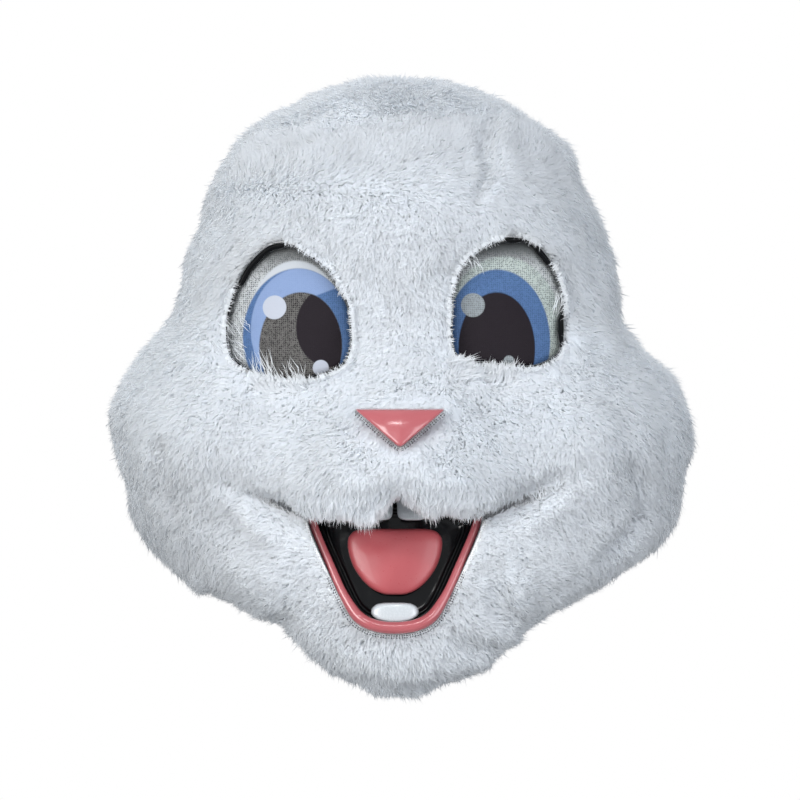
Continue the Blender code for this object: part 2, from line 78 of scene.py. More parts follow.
# One row for each level from the neck rim to the top of the crown, in millimetres above the chin and from
# the head's axis. ahead is how far in front of the axis the level is widest.
LEVEL_COLUMNS = ("front_height", "side_height", "back_height", "left", "right", "front", "back", "ahead")
LEVELS = (
    (32, 58, 54, 104, 104, 88, 116, 0),
    (12, 63, 64, 126, 125, 104, 128, 2),
    (1, 71, 77, 148, 143, 121, 139, 6),
    (0, 83, 93, 163, 162, 140, 147, 11),
    (17, 98, 113, 175, 183, 155, 155, 17),
    (44, 119, 136, 187, 194, 163, 161, 23),
    (80, 143, 159, 192, 198, 168, 164, 27),
    (117, 168, 181, 199, 202, 170, 166, 28),
    (152, 191, 203, 201, 200, 169, 167, 26),
    (187, 213, 221, 192, 190, 163, 167, 22),
    (217, 234, 240, 178, 170, 157, 166, 17),
    (243, 253, 257, 162, 156, 151, 164, 13),
    (271, 275, 277, 155, 152, 147, 161, 10),
    (299, 300, 301, 149, 147, 142, 156, 7),
    (323, 323, 323, 140, 139, 135, 149, 5),
    (347, 347, 347, 133, 128, 125, 139, 3),
    (371, 371, 371, 120, 120, 108, 122, 1),
    (391, 391, 391, 100, 98, 88, 100, 0),
    (408, 408, 408, 70, 70, 63, 70, 0),
    (420, 420, 420, 36, 36, 33, 36, 0),
    (425, 425, 425, 0, 0, 0, 0, 0),
)
TOP_LEVEL = len(LEVELS) - 1
FRONT_SQUARENESS, BACK_SQUARENESS = 2.4, 2.1  # 2 is an ellipse in plan
CHIN_DROP_LEFT, CHIN_DROP_RIGHT = 5.4, 4.2

# Soft forms pushed out of the face, in millimetres: across, height, half width, half height, push.
MUZZLE_FORMS = ((-40, 141, 43, 40, 29), (40, 141, 43, 40, 29), (0, 166, 42, 40, 21))
FACE_FORMS = (
    (-132, 172, 52, 46, 20),
    (134, 166, 52, 46, 20),
    (-72, 258, 46, 46, -11),
    (70, 260, 46, 46, -11),
    (0, 318, 86, 34, 6),
    (-92, 84, 40, 30, 7),
    (94, 84, 40, 30, 7),
    (0, 12, 42, 24, 5),
)
FORMS_FADE = 0.45
MUZZLE_ROLL, MUZZLE_ROLL_LEFT = 0.034, 0.30

SMILE_HEIGHT, SMILE_HALF, SMILE_RISE, SMILE_SOFT = 0.1165, 0.056, 0.52, 0.010
CLEFT_ACROSS, CLEFT_HALF, CLEFT_RISE = -0.001, 0.013, 0.0090
CROWN_SEAM_HEIGHT, CROWN_SEAM_TILT = 0.390, 0.10

EYES = {"left": (-0.0733, 0.2575, 0.0405), "right": (0.0707, 0.2640, 0.0390)}  # across, height, half width
# How far each eye opening reaches from its middle, in millimetres, at degrees from its top towards +X.
EYE_REACH = {
    "left": ((0, 45), (15, 39.5), (36, 38), (66, 37.5), (103, 42), (120, 48), (134, 52), (153, 48),
             (175, 46.5), (194, 47), (219, 48.5), (231, 50.5), (251, 45), (279, 40), (300, 39.5),
             (326, 42.5), (344, 46)),
    "right": ((4, 42.5), (26, 43), (47, 40), (65, 38), (85, 38.5), (109, 40.3), (122, 45), (135, 50),
              (154, 48.5), (176, 44), (198, 43.5), (208, 47.5), (224, 51), (234, 45.5), (255, 38),
              (282, 36.2), (311, 38), (338, 38.8)),
}
EYE_HALF_HEIGHT = 0.0455
FRAME_RECESS, FRAME_DEPTH = 0.0050, 0.0150
MESH_THICKNESS, MESH_RECESS, MESH_BULGE = 0.0015, 0.0105, 0.0030

NOSE_HEIGHT, NOSE_HALF_WIDTH, NOSE_TALL, NOSE_CORNER = 0.1672, 0.0295, 0.0252, 0.0034

MOUTH_ACROSS, MOUTH_LOW = -0.0033, 0.046
MOUTH_FRONT, MOUTH_LEAN, MOUTH_BEND = -0.1640, 0.16, 2.0
LIP_RADIUS, LIP_SIDE_RADIUS, LIP_TUCK = 0.0040, 0.0028, -0.006
# Half outlines, in millimetres from the mouth's middle and above its low point.
DISH_HALF = ((0, 88), (40, 87), (54, 81), (56.5, 71), (43, 39), (32, 16), (24.5, 6.5), (13.5, 1.4), (0, 0))
TONGUE_HALF = ((0, 67.5), (22, 67.2), (29.5, 63.5), (31, 56), (28, 44.5), (22, 35), (15, 28.5), (7.5, 25.2),
               (0, 24.7))
LOWER_TOOTH_HALF = ((0, 19.8), (10, 19.2), (14.6, 16.2), (14.8, 12), (11, 9), (5, 7.7), (0, 7.4))
UPPER_TOOTH_HALF = ((0, 92.5), (9, 91.5), (10, 83), (8.5, 75), (0, 73.5))
UPPER_TOOTH_GAP = 0.0030
# Profiles of the moulded pieces: share of the outline and millimetres behind the mouth's face, from the
# front middle round the edge to the back middle.
DISH_PROFILE = ((0, 15), (0.45, 15), (0.72, 14.6), (0.79, 12.4), (0.83, 13.2), (0.88, 11), (0.91, 6.35),
                (0.92, 4.35), (1, 4.35), (1, 6.35), (0.97, 8.35), (0.93, 15), (0.80, 17.2), (0.45, 17.2),
                (0, 17.2))
TONGUE_PROFILE = ((0, 5.6), (0.4, 5.8), (0.72, 6.4), (0.93, 7.6), (1, 10.5), (0.97, 13.15), (0.86, 13.15),
                  (0.7, 13.45), (0.4, 14.65), (0, 14.65))
LOWER_TOOTH_PROFILE = ((0, 1.7), (0.6, 1.8), (0.9, 2.5), (1, 4.6), (1, 7.5), (0.8, 12.4), (0, 13.8))
UPPER_TOOTH_PROFILE = ((0, -0.2), (0.6, 0), (0.92, 1), (1, 2.4), (1, 4), (0, 4))
NOSE_PROFILE = ((0, -0.6), (0.3, -0.6), (0.6, -0.55), (0.87, -0.3), (0.96, 0.9), (1, 4.5), (1, 12),
                (0.6, 12), (0, 12))

BINDING_GAP, BINDING_THICKNESS = 0.0008, 0.0025

# The camera: level, in front of the face, with the photograph's 800 pixels across 36 mm of sensor.
CAMERA_DISTANCE, CAMERA_HEIGHT = 2.4, -0.2116
PHOTO_PIXELS, SENSOR_MM = 800, 36.0
PHOTO_CENTRE = (400, 395)
FOCAL_PIXELS = (CAMERA_DISTANCE - 0.02) / 0.000692

# Creases of the cloth: where they run, how wide and how deep, in millimetres. On the face each runs over
# places across and above the chin; a negative depth is a trough and a positive one a ridge.
FACE_FOLDS = (
    (((62, 389), (56, 372), (58, 352), (50, 334)), 5, -6),
    (((76, 392), (70, 366), (72, 340)), 9, 3),
    (((-70, 371), (-36, 387), (0, 382), (28, 387)), 4, -1.6),
    (((-128, 288), (-116, 300), (-104, 309)), 4, -2.5),
    (((122, 322), (131, 306), (134, 284)), 6, -4),
    (((138, 330), (146, 300), (150, 268)), 7, 3),
    (((112, 300), (118, 270), (128, 240)), 8, -2.5),
    (((-150, 196), (-168, 168), (-172, 140)), 5, 3),
    (((-160, 182), (-158, 140), (-150, 112)), 6, -3.5),
    (((-108, 142), (-88, 132), (-60, 116)), 7, -5),
    (((-112, 128), (-90, 116), (-70, 104)), 11, 3),
    (((52, 116), (72, 126), (92, 142), (118, 156)), 8, -5),
    (((70, 108), (96, 124), (120, 138)), 12, 3.5),
    (((58, 84), (64, 62), (78, 44)), 8, -7),
    (((82, 86), (92, 70), (104, 60)), 10, -3),
    (((36, 44), (50, 34), (72, 28)), 7, -6),
    (((-40, 12), (0, 4), (44, 10)), 9, -5),
    (((-64, 64), (-80, 48), (-88, 34)), 9, -3),
    (((150, 170), (160, 140), (158, 108)), 7, -6),
    (((128, 206), (146, 194), (160, 172)), 9, -3),
    (((20, 216), (52, 200), (96, 206)), 8, -2.5),
    (((-30, 236), (-20, 212), (-34, 190)), 10, -2),
    (((-62, 28), (-80, 42), (-96, 54)), 15, -4),
    (((-126, 66), (-146, 82)), 15, 5),
    (((132, 92), (146, 104), (168, 124)), 6, -5.5),
    (((128, 104), (142, 116), (156, 134)), 8, 3),
    (((78, 34), (92, 46), (108, 60)), 16, -5),
)
# Behind the face: degrees from its middle and millimetres above the chin.
BACK_FOLDS = (
    (((92, 330), (97, 290), (92, 250)), 8, -4),
    (((-90, 320), (-96, 280), (-90, 246)), 8, -4),
    (((104, 215), (96, 190), (101, 160)), 9, -3.5),
    (((-101, 220), (-94, 192), (-100, 165)), 9, -3),
    (((84, 130), (98, 120), (112, 128)), 8, -3.5),
    (((-82, 134), (-96, 122), (-110, 130)), 8, -3.5),
    (((130, 350), (138, 310), (134, 270)), 10, -4),
    (((-134, 340), (-140, 300), (-136, 256)), 10, -4),
    (((150, 230), (160, 200), (156, 168)), 11, -3.5),
    (((-152, 236), (-158, 204), (-166, 176)), 11, -3.5),
    (((168, 300), (174, 260), (170, 226)), 10, 3),
    (((-172, 130), (-150, 116), (-132, 122)), 9, -4),
    (((134, 118), (150, 108), (172, 116)), 9, -4),
    (((120, 190), (126, 160), (138, 140)), 9, -3),
    (((-118, 186), (-126, 156), (-140, 142)), 9, -3),
    (((-91, 238), (-91, 160)), 30, -4),
    (((91, 232), (91, 165)), 30, -3.5),
)
BACK_ROUND = 2.9  # millimetres round the head for each degree
# The cloth's own unevenness: wavelength and height, in millimetres.
LUMPS = ((34, 1.3), (17, 0.95), (9, 0.5))

PANELS = {
    # first and last degrees, low and high seam, whether the muzzle is in it, columns and rows of its cloth
    "face_panel": (-SIDE_SEAM, SIDE_SEAM, "smile", "crown", True, 90, 84),
    "jaw_panel": (-SIDE_SEAM, SIDE_SEAM, "rim", "smile", False, 80, 44),
    "side_panel_left": (-BACK_SEAM, -SIDE_SEAM, "rim", "crown", False, 28, 72),
    "side_panel_right": (SIDE_SEAM, BACK_SEAM, "rim", "crown", False, 28, 72),
    "back_panel_left": (-180, -BACK_SEAM, "rim", "crown", False, 34, 72),
    "back_panel_right": (BACK_SEAM, 180, "rim", "crown", False, 34, 72),
    "crown_panel": (-180, 180, "crown", "top", False, 120, 16),
}


def through(before, start, end, after, share):
    """A smooth curve through start and end, as Catmull and Rom draw it."""
    slope_in, slope_out = (end - before) / 2, (after - start) / 2
    square, cube = share * share, share**3
    return (
        start * (2 * cube - 3 * square + 1)
        + slope_in * (cube - 2 * square + share)
        + end * (3 * square - 2 * cube)
        + slope_out * (cube - square)
    )


def smooth_step(low, high, value):
    share = np.clip((value - low) / (high - low), 0.0, 1.0)
    return share * share * (3 - 2 * share)


def padded_levels():
    """LEVELS with a row before it and one after it, so that the curve through it is smooth at both ends."""
    rows = np.array(LEVELS, float)
    first = 2 * rows[0] - rows[1]
    mirrored = [name in ("left", "right", "front", "back") for name in LEVEL_COLUMNS]
    last = np.where(mirrored, -rows[-2], rows[-1])
    return np.vstack([first, rows, last])


LEVEL_ROWS = padded_levels()


def level_sizes(level):
    """The columns of LEVELS at any levels between its rows, in metres."""
    level = np.clip(level, 0.0, TOP_LEVEL)
    row = np.minimum(level.astype(int), TOP_LEVEL - 1)
    before, start, end, after = (LEVEL_ROWS[row + step] for step in range(4))
    sizes = through(before, start, end, after, (level - row)[:, None]) * MM
    return dict(zip(LEVEL_COLUMNS, sizes.T))


def pushed_out(across, height, forms):
    total = np.zeros_like(across)
    for middle, middle_height, half_width, half_height, push in forms:
        wide, tall = (across / MM - middle) / half_width, (height / MM - middle_height) / half_height
        total += push * MM * np.exp(-wide * wide - tall * tall)
    return total


def smile_height(across):
    beyond = abs(across - MOUTH_ACROSS) - SMILE_HALF
    rising = (beyond + np.sqrt(beyond * beyond + SMILE_SOFT * SMILE_SOFT)) / 2
    cleft = CLEFT_RISE * np.exp(-(((across - CLEFT_ACROSS) / CLEFT_HALF) ** 2))
    return SMILE_HEIGHT + SMILE_RISE * rising + cleft


def crown_height(across):
    return CROWN_SEAM_HEIGHT + CROWN_SEAM_TILT * across


def rolled_under(across, height):
    above = np.clip((height - smile_height(across)) / MUZZLE_ROLL, 0.0, 1.0)
    return MUZZLE_ROLL_LEFT + (1 - MUZZLE_ROLL_LEFT) * np.sqrt(1 - (1 - above) ** 2)


def head_points(turn, level, muzzle=False):
    """Points of the plush surface, above the chin. turn is in radians from the middle of the face to +X."""
    ahead, aside = np.cos(turn), np.sin(turn)
    size = level_sizes(level)
    front = ahead > 0
    squareness = np.where(front, FRONT_SQUARENESS, BACK_SQUARENESS)
    spread = (np.abs(ahead) ** squareness + np.abs(aside) ** squareness) ** (-1 / squareness)
    across = np.where(aside > 0, size["right"], size["left"]) * spread * aside
    depth = np.where(front, size["front"] - size["ahead"], size["back"] + size["ahead"])
    end_height = np.where(front, size["front_height"], size["back_height"])
    drop = np.where(aside > 0, CHIN_DROP_RIGHT, CHIN_DROP_LEFT)
    height = size["side_height"] + (end_height - size["side_height"]) * np.abs(ahead) ** drop
    push = pushed_out(across, height, FACE_FORMS)
    if muzzle:
        push += pushed_out(across, height, MUZZLE_FORMS) * rolled_under(across, height)
    push *= np.where(front, smooth_step(0.0, FORMS_FADE, ahead), 0.0)
    return np.stack([across, -size["ahead"] - depth * spread * ahead - push, height], axis=1)


def unit(vectors):
    return vectors / np.maximum(np.linalg.norm(vectors, axis=1), 1e-12)[:, None]


def head_normals(turn, level, muzzle=False):
    """The outward normals of the plush surface."""
    step = 0.004
    high, low = np.minimum(level + step, TOP_LEVEL), np.maximum(level - step, 0.0)
    up = head_points(turn, high, muzzle) - head_points(turn, low, muzzle)
    around = head_points(turn + step, level, muzzle) - head_points(turn - step, level, muzzle)
    normals = unit(np.cross(around, up))
    normals[level > TOP_LEVEL - 0.01] = (0, 0, 1)
    return normals


def levels_where(turn, height_at, low, high):
    """The levels at which columns of the head cross a seam, found by halving."""
    low, high = np.full_like(turn, low), np.full_like(turn, high)
    for _ in range(30):
        middle = (low + high) / 2
        points = head_points(turn, middle)
        under = points[:, 2] < height_at(points[:, 0])
        low, high = np.where(under, middle, low), np.where(under, high, middle)
    return (low + high) / 2


def seam_levels(seam, turn):
    if seam == "rim":
        return np.zeros_like(turn)
    if seam == "top":
        return np.full_like(turn, float(TOP_LEVEL))
    if seam == "crown":
        return levels_where(turn, crown_height, 14.0, 19.5)
    edge = math.radians(SIDE_SEAM)
    return levels_where(np.clip(turn, -edge, edge), smile_height, 5.0, 10.0)


def panel_place(name, across, up):
    """Turns and levels of places on a panel, given as shares of its width and height."""
    first, last, low_seam, high_seam = PANELS[name][:4]
    turn = np.radians(first + (last - first) * across)
    low, high = seam_levels(low_seam, turn), seam_levels(high_seam, turn)
    power = FACE_ROW_POWER if name == "face_panel" else 1.0
    return turn, low + (high - low) * up**power


HASH_PRIMES = np.array([73856093, 19349663, 83492791])


def value_noise(points, size, seed):
    """Smooth noise from -1 to 1 over points in metres, on a grid of cubes of a size in millimetres."""
    places = points / (size * MM) + seed * 7.31
    corner = np.floor(places).astype(np.int64)
    share = places - corner
    share = share * share * (3 - 2 * share)
    total = np.zeros(len(points))
    for step in range(8):
        offset = np.array([step & 1, step >> 1 & 1, step >> 2 & 1])
        cell = corner + offset
        spun = cell * HASH_PRIMES
        mixed = spun[:, 0] ^ spun[:, 1] ^ spun[:, 2] ^ (seed * 2654435)
        mixed = (mixed ^ (mixed >> 13)) * 1274126177 & 0x7FFFFFFF
        weight = np.prod(np.where(offset == 1, share, 1 - share), axis=1)
        total += weight * ((mixed >> 8) % 65536 / 32767.5 - 1)
    return total


def crease_depth(places, folds):
    """How far the creases move the cloth at places, all in millimetres: ends taper over their own width."""
    total = np.zeros(len(places))
    for route, width, depth in folds:
        route = np.array(route, float)
        nearest = np.full(len(places), 1e9)
        along = np.zeros(len(places))
        lengths = np.linalg.norm(np.diff(route, axis=0), axis=1)
        passed = 0.0
        for start, end, length in zip(route[:-1], route[1:], lengths):
            share = np.clip((places - start) @ (end - start) / length**2, 0, 1)
            distance = np.linalg.norm(places - start - share[:, None] * (end - start), axis=1)
            closer = distance < nearest
            nearest = np.where(closer, distance, nearest)
            along = np.where(closer, passed + share * length, along)
            passed += length
        middle = np.sin(np.pi * np.clip(along / passed, 0.06, 0.94)) ** 0.6
        total += depth * middle * np.exp(-((nearest / width) ** 2))
    return total


def fold_offset(points, turn):
    """How far, in metres, the folds and the cloth's unevenness move the plush surface outwards."""
    face_places = points[:, (0, 2)] / MM
    back_places = np.stack([np.degrees(turn) * BACK_ROUND, points[:, 2] / MM], axis=1)
    back_folds = [(np.array(route) * (BACK_ROUND, 1), width, depth) for route, width, depth in BACK_FOLDS]
    ahead = smooth_step(0.0, 0.25, np.cos(turn))
    total = crease_depth(face_places, FACE_FOLDS) * ahead
    total += crease_depth(back_places, back_folds) * (1 - ahead)
    for index, (size, height) in enumerate(LUMPS):
        total += height * value_noise(points, size, index + 3)
    return total * MM


def plush_place(name, across, up):
    """Points on the tips' surface of a panel, their normals and turns."""
    muzzle = PANELS[name][4]
    turn, level = panel_place(name, across, up)
    points, normals = head_points(turn, level, muzzle), head_normals(turn, level, muzzle)
    return points + normals * fold_offset(points, turn)[:, None], normals, turn


def lowered(points):
    """From heights above the chin to the frame's own heights."""
    return points - np.array([0.0, 0.0, ORIGIN_HEIGHT])


def egg_outline(side, steps, shrink=0.0):
    """A tall eye opening: round above, fuller and flatter below."""
    across, height, _ = EYES[side]
    degrees, reach = zip(*EYE_REACH[side])
    even = np.interp(np.arange(-360, 720), degrees, reach, period=360)
    weights = np.hanning(19)
    soft = np.convolve(even, weights / weights.sum(), "same")[360:720]
    angle = math.tau * np.arange(steps) / steps
    radius = np.interp(np.degrees(angle), np.arange(360), soft, period=360) * MM - shrink
    return np.stack([across + radius * np.sin(angle), height + radius * np.cos(angle)], axis=1)


def rounded_ring(ring, steps):
    """A closed outline made smooth through its points."""
    ring = np.array(ring, float)
    around = [np.roll(ring, shift, axis=0) for shift in (1, 0, -1, -2)]
    return np.array([through(*(corner[i] for corner in around), step / steps)
                     for i in range(len(ring)) for step in range(steps)])


def half_outline(half, across, low=0.0, steps=6):
    """A closed outline from half of one, in millimetres, rounded through its points and mirrored."""
    ring = [(x * MM, z * MM) for x, z in half]
    ring += [(-x, z) for x, z in reversed(ring[1:-1])]
    return rounded_ring(ring, steps) + np.array([across, low])


def nose_outline(steps):
    """A triangle that stands on its point, with rounded corners."""
    low, high = NOSE_HEIGHT, NOSE_HEIGHT + NOSE_TALL
    corners = [np.array(c) for c in ((-NOSE_HALF_WIDTH, high), (NOSE_HALF_WIDTH, high), (0.0, low))]
    outline = []

    def towards(start, end):
        return start + (end - start) / np.linalg.norm(end - start) * NOSE_CORNER

    for i, here in enumerate(corners):
        before, after = corners[i - 1], corners[(i + 1) % 3]
        start, end, beyond = towards(here, before), towards(here, after), towards(after, here)
        for share in np.arange(steps) / steps:
            first, second = start * (1 - share) + here * share, here * (1 - share) + end * share
            outline.append(first * (1 - share) + second * share)
        outline += [end + (beyond - end) * share for share in np.arange(steps) / steps]
    return np.array(outline)


def moved_edge(outline, outward):
    """An outline with each point moved along its own normal, outwards if positive."""
    after, before = np.roll(outline, -1, axis=0), np.roll(outline, 1, axis=0)
    turning = np.sum(outline[:, 0] * after[:, 1] - after[:, 0] * outline[:, 1])
    along = unit(after - before)
    return outline + np.sign(turning) * outward * np.stack([along[:, 1], -along[:, 0]], axis=1)


def edge_distance(outline, places):
    """Signed distance of places from an outline in the front view, in metres: negative inside it."""
    ends = np.roll(outline, -1, axis=0)
    nearest = np.full(len(places), 1e9)
    inside = np.zeros(len(places), bool)
    away = np.zeros((len(places), 2))
    for start, end in zip(outline, ends):
        share = np.clip((places - start) @ (end - start) / max(np.sum((end - start) ** 2), 1e-12), 0, 1)
        apart = places - start - share[:, None] * (end - start)
        distance = np.linalg.norm(apart, axis=1)
        closer = distance < nearest
        nearest = np.where(closer, distance, nearest)
        away[closer] = apart[closer]
        crosses = (start[1] > places[:, 1]) != (end[1] > places[:, 1])
        if start[1] != end[1]:
            cut = start[0] + (places[:, 1] - start[1]) * (end[0] - start[0]) / (end[1] - start[1])
            inside ^= crosses & (places[:, 0] < cut)
    away = away / np.maximum(nearest, 1e-9)[:, None] * np.where(inside, -1, 1)[:, None]
    return np.where(inside, -nearest, nearest), away


def new_object(name, mesh, material):
    """A finished piece: it rides on the head and takes the material it is given."""
    made = bpy.data.objects.new(name, mesh)
    bpy.context.scene.collection.objects.link(made)
    mesh.materials.append(material)
    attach(made, BODY)
    return made


def mesh_of(bm, name):
    mesh = bpy.data.meshes.new(name)
    bm.to_mesh(mesh)
    bm.free()
    return mesh


def wrapped_grid(name, across, up, place, closed=True):
    """A grid laid on a shape, its doubles merged: place gives the points for the shares across and up."""
    bm = bmesh.new()
    bmesh.ops.create_grid(bm, x_segments=across, y_segments=up, size=0.5)
    shares = np.array([vert.co[:2] for vert in bm.verts]) + 0.5
    shares = np.round(shares * (across, up)) / (across, up)
    for vert, point in zip(bm.verts, lowered(place(shares[:, 0], shares[:, 1]))):
        vert.co = point
    if closed:
        bmesh.ops.remove_doubles(bm, verts=bm.verts, dist=0.00002)
        bmesh.ops.dissolve_degenerate(bm, edges=bm.edges, dist=0.00001)
        bmesh.ops.recalc_face_normals(bm, faces=bm.faces)
    mesh = mesh_of(bm, name)
    mesh.shade_smooth()
    return mesh


def smooth_profile(profile, steps):
    """A profile's points joined by a smooth curve, in shares of the outline and metres behind its face."""
    rows = np.array(profile, float)
    rows = np.vstack([rows[1] * (-1, 1), rows, rows[-2] * (-1, 1)])
    made = [through(*rows[i:i + 4], step / steps) for i in range(len(rows) - 3) for step in range(steps)]
    made = np.array([*made, rows[-2]])
    made[:, 0] = np.clip(made[:, 0], 0.0, 1.02)
    return made * (1, MM)


def moulded_pad(name, outline, profile, depth_at, steps=3):
    """A moulded pad or bowl over an outline in the front view, smooth from its middle round to its back."""
    rows = smooth_profile(profile, steps)
    middle = np.array([outline[:, 0].mean(), (outline[:, 1].max() + outline[:, 1].min()) / 2])

    def place(around, along):
        edge = outline[np.round(around * len(outline)).astype(int) % len(outline)]
        share, behind = rows[np.round(along * (len(rows) - 1)).astype(int)].T
        flat = middle + (edge - middle) * share[:, None]
        return np.stack([flat[:, 0], depth_at(flat[:, 0], flat[:, 1]) + behind, flat[:, 1]], axis=1)

    return wrapped_grid(name, len(outline), len(rows) - 1, place)


def link(tree, source, target):
    tree.links.new(source, target)


def node(tree, kind, settings=None, **inputs):
    """A shader node. An input given as a socket is linked, and any other value is set on it."""
    made = tree.nodes.new("ShaderNode" + kind)
    for key, value in (settings or {}).items():
        setattr(made, key, value)
    for key, value in inputs.items():
        socket = made.inputs[int(key[1:]) if key[0] == "i" and key[1:].isdigit() else key.replace("_", " ")]
        if isinstance(value, bpy.types.NodeSocket):
            link(tree, value, socket)
        else:
            socket.default_value = value
    return made


def maths(tree, operation, first, second=0.0, third=0.0):
    return node(tree, "Math", {"operation": operation}, i0=first, i1=second, i2=third).outputs[0]


def vector_maths(tree, operation, first, second=(0, 0, 0)):
    made = node(tree, "VectorMath", {"operation": operation}, i0=first, i1=second)
    return made.outputs["Value" if operation in ("LENGTH", "DOT_PRODUCT") else 0]


def mixed(tree, share, first, second, blend="MIX"):
    kinds = {"data_type": "RGBA", "blend_type": blend}
    return node(tree, "Mix", kinds, i0=share, i6=first, i7=second).outputs[2]


def new_material(name, roughness, **sockets):
    made = bpy.data.materials.new(name)
    made.use_nodes = True
    shader = made.node_tree.nodes["Principled BSDF"]
    shader.inputs["Roughness"].default_value = roughness
    for key, value in sockets.items():
        shader.inputs[key.replace("_", " ")].default_value = value
    return made, made.node_tree, shader


def object_coords(tree):
    return node(tree, "TexCoord").outputs["Object"]


def rgba(colour):
    return (*colour, 1.0)


def new_group(name, inputs, outputs):
    tree = bpy.data.node_groups.new(name, "ShaderNodeTree")
    for way, sockets in (("INPUT", inputs), ("OUTPUT", outputs)):
        for socket, kind, *value in sockets:
            made = tree.interface.new_socket(socket, in_out=way, socket_type="NodeSocket" + kind)
            if value:
                made.default_value = value[0]
    return tree, tree.nodes.new("NodeGroupInput").outputs, tree.nodes.new("NodeGroupOutput").inputs


def weave_group():
    """Crossing threads seen from the front: their height, and a mask of the gaps between them."""
    tree, given, out = new_group(
        "crossing threads",
        [("Vector", "Vector"), ("Pitch", "Float", 0.001), ("Unevenness", "Float", 0.25)],
        [("Height", "Float"), ("Gaps", "Float")],
    )
    place = given["Vector"]
    wander = node(tree, "TexNoise", Vector=place, Scale=700.0, Detail=2.0)
    uneven = maths(tree, "MULTIPLY", maths(tree, "SUBTRACT", wander.outputs[0], 0.5), given["Unevenness"])
    axes = node(tree, "SeparateXYZ", Vector=place)
    waves = []
    for axis in ("X", "Z"):
        turned = maths(tree, "DIVIDE", axes.outputs[axis], given["Pitch"])
        turned = maths(tree, "ADD", turned, maths(tree, "MULTIPLY", uneven, 2.0))
        wave = maths(tree, "SINE", maths(tree, "MULTIPLY", turned, math.tau))
        waves.append(maths(tree, "MULTIPLY_ADD", wave, 0.5, 0.5))
    height = maths(tree, "MAXIMUM", *waves)
    gaps = maths(tree, "MULTIPLY", *(maths(tree, "SUBTRACT", 1.0, wave) for wave in waves))
    link(tree, maths(tree, "ADD", height, uneven), out["Height"])
    worn = node(tree, "TexNoise", Vector=place, Scale=430.0, Detail=2.0).outputs[0]
    open_share = node(tree, "MapRange", i0=worn, i1=0.36, i2=0.62, i3=0.2, i4=1.5).outputs[0]
    gaps = maths(tree, "MULTIPLY", maths(tree, "MULTIPLY", gaps, open_share), 2.5)
    link(tree, maths(tree, "SMOOTH_MIN", gaps, 1.0, 0.1), out["Gaps"])
    return tree


def oval_group():
    """A mask that is 1 inside an oval in the front view and 0 outside it."""
    tree, given, out = new_group(
        "oval",
        [("Vector", "Vector"), ("Centre", "Vector"), ("Radii", "Vector"), ("Softness", "Float", 0.02)],
        [("Mask", "Float")],
    )
    apart = vector_maths(tree, "DIVIDE", vector_maths(tree, "SUBTRACT", given["Vector"], given["Centre"]),
                         given["Radii"])
    flat = vector_maths(tree, "MULTIPLY", apart, (1, 0, 1))
    distance = vector_maths(tree, "LENGTH", flat)
    edge = node(tree, "MapRange", {"interpolation_type": "SMOOTHSTEP"}, i0=distance, i3=1.0, i4=0.0)
    link(tree, maths(tree, "SUBTRACT", 1.0, given["Softness"]), edge.inputs[1])
    link(tree, maths(tree, "ADD", 1.0, given["Softness"]), edge.inputs[2])
    link(tree, edge.outputs[0], out["Mask"])
    return tree


GROUPS = {}


def placed_group(tree, name, **inputs):
    makers = {"crossing threads": weave_group, "oval": oval_group}
    if name not in GROUPS:
        GROUPS[name] = makers[name]()
    made = tree.nodes.new("ShaderNodeGroup")
    made.node_tree = GROUPS[name]
    for key, value in inputs.items():
        if isinstance(value, bpy.types.NodeSocket):
            link(tree, value, made.inputs[key])
        else:
            made.inputs[key].default_value = value
    return made.outputs


def pile_material(settings):
    """White pile: paler at its tips and from lock to lock, and darker and bluish towards its roots as
    painted shade.
    """
    made, tree, shader = new_material("plush pile", 0.85, Sheen_Weight=0.25, Sheen_Roughness=0.5,
                                      Specular_IOR_Level=0.15)
    tone = node(tree, "Attribute", {"attribute_name": "tone"}).outputs["Fac"]
    patches = node(tree, "TexNoise", Vector=object_coords(tree), Scale=26.0, Detail=3.0).outputs[0]
    # Painted shade: towards its roots a lock takes the darker, bluer root colour.
    colour = mixed(tree, tone, rgba(settings.root_shade_colour), rgba(settings.tip_colour))
    shade = maths(tree, "MULTIPLY_ADD", maths(tree, "SUBTRACT", patches, 0.5), 0.10, 1.0)
    grey = node(tree, "CombineColor", i0=shade, i1=shade, i2=shade).outputs[0]
    colour = mixed(tree, 1.0, colour, grey, "MULTIPLY")
    link(tree, colour, shader.inputs["Base Color"])
    lit_through = node(tree, "BsdfTranslucent", Color=colour).outputs[0]
    both = node(tree, "MixShader", i0=settings.see_through, i1=shader.outputs[0], i2=lit_through)
    link(tree, both.outputs[0], tree.nodes["Material Output"].inputs["Surface"])
    return made


def woven_cloth(tree, shader, colour, darker, pitch, unevenness, deep):
    """Gives a shader the colour and the bumps of a plain weave."""
    threads = placed_group(tree, "crossing threads", Vector=object_coords(tree), Pitch=pitch,
                           Unevenness=unevenness)
    gaps = rgba([darker * value for value in colour])
    link(tree, mixed(tree, threads["Gaps"], rgba(colour), gaps), shader.inputs["Base Color"])
    bump = node(tree, "Bump", Strength=0.5, Distance=deep, Height=threads["Height"])
    link(tree, bump.outputs[0], shader.inputs["Normal"])


def backing_material(settings):
    """The knitted backing that the pile stands on, seen inside the head and between the locks."""
    made, tree, shader = new_material("knitted backing", 0.9, Sheen_Weight=0.1, Sheen_Roughness=0.6)
    woven_cloth(tree, shader, settings.backing_colour, 0.72, 0.0016, 0.5, 0.0006)
    return made


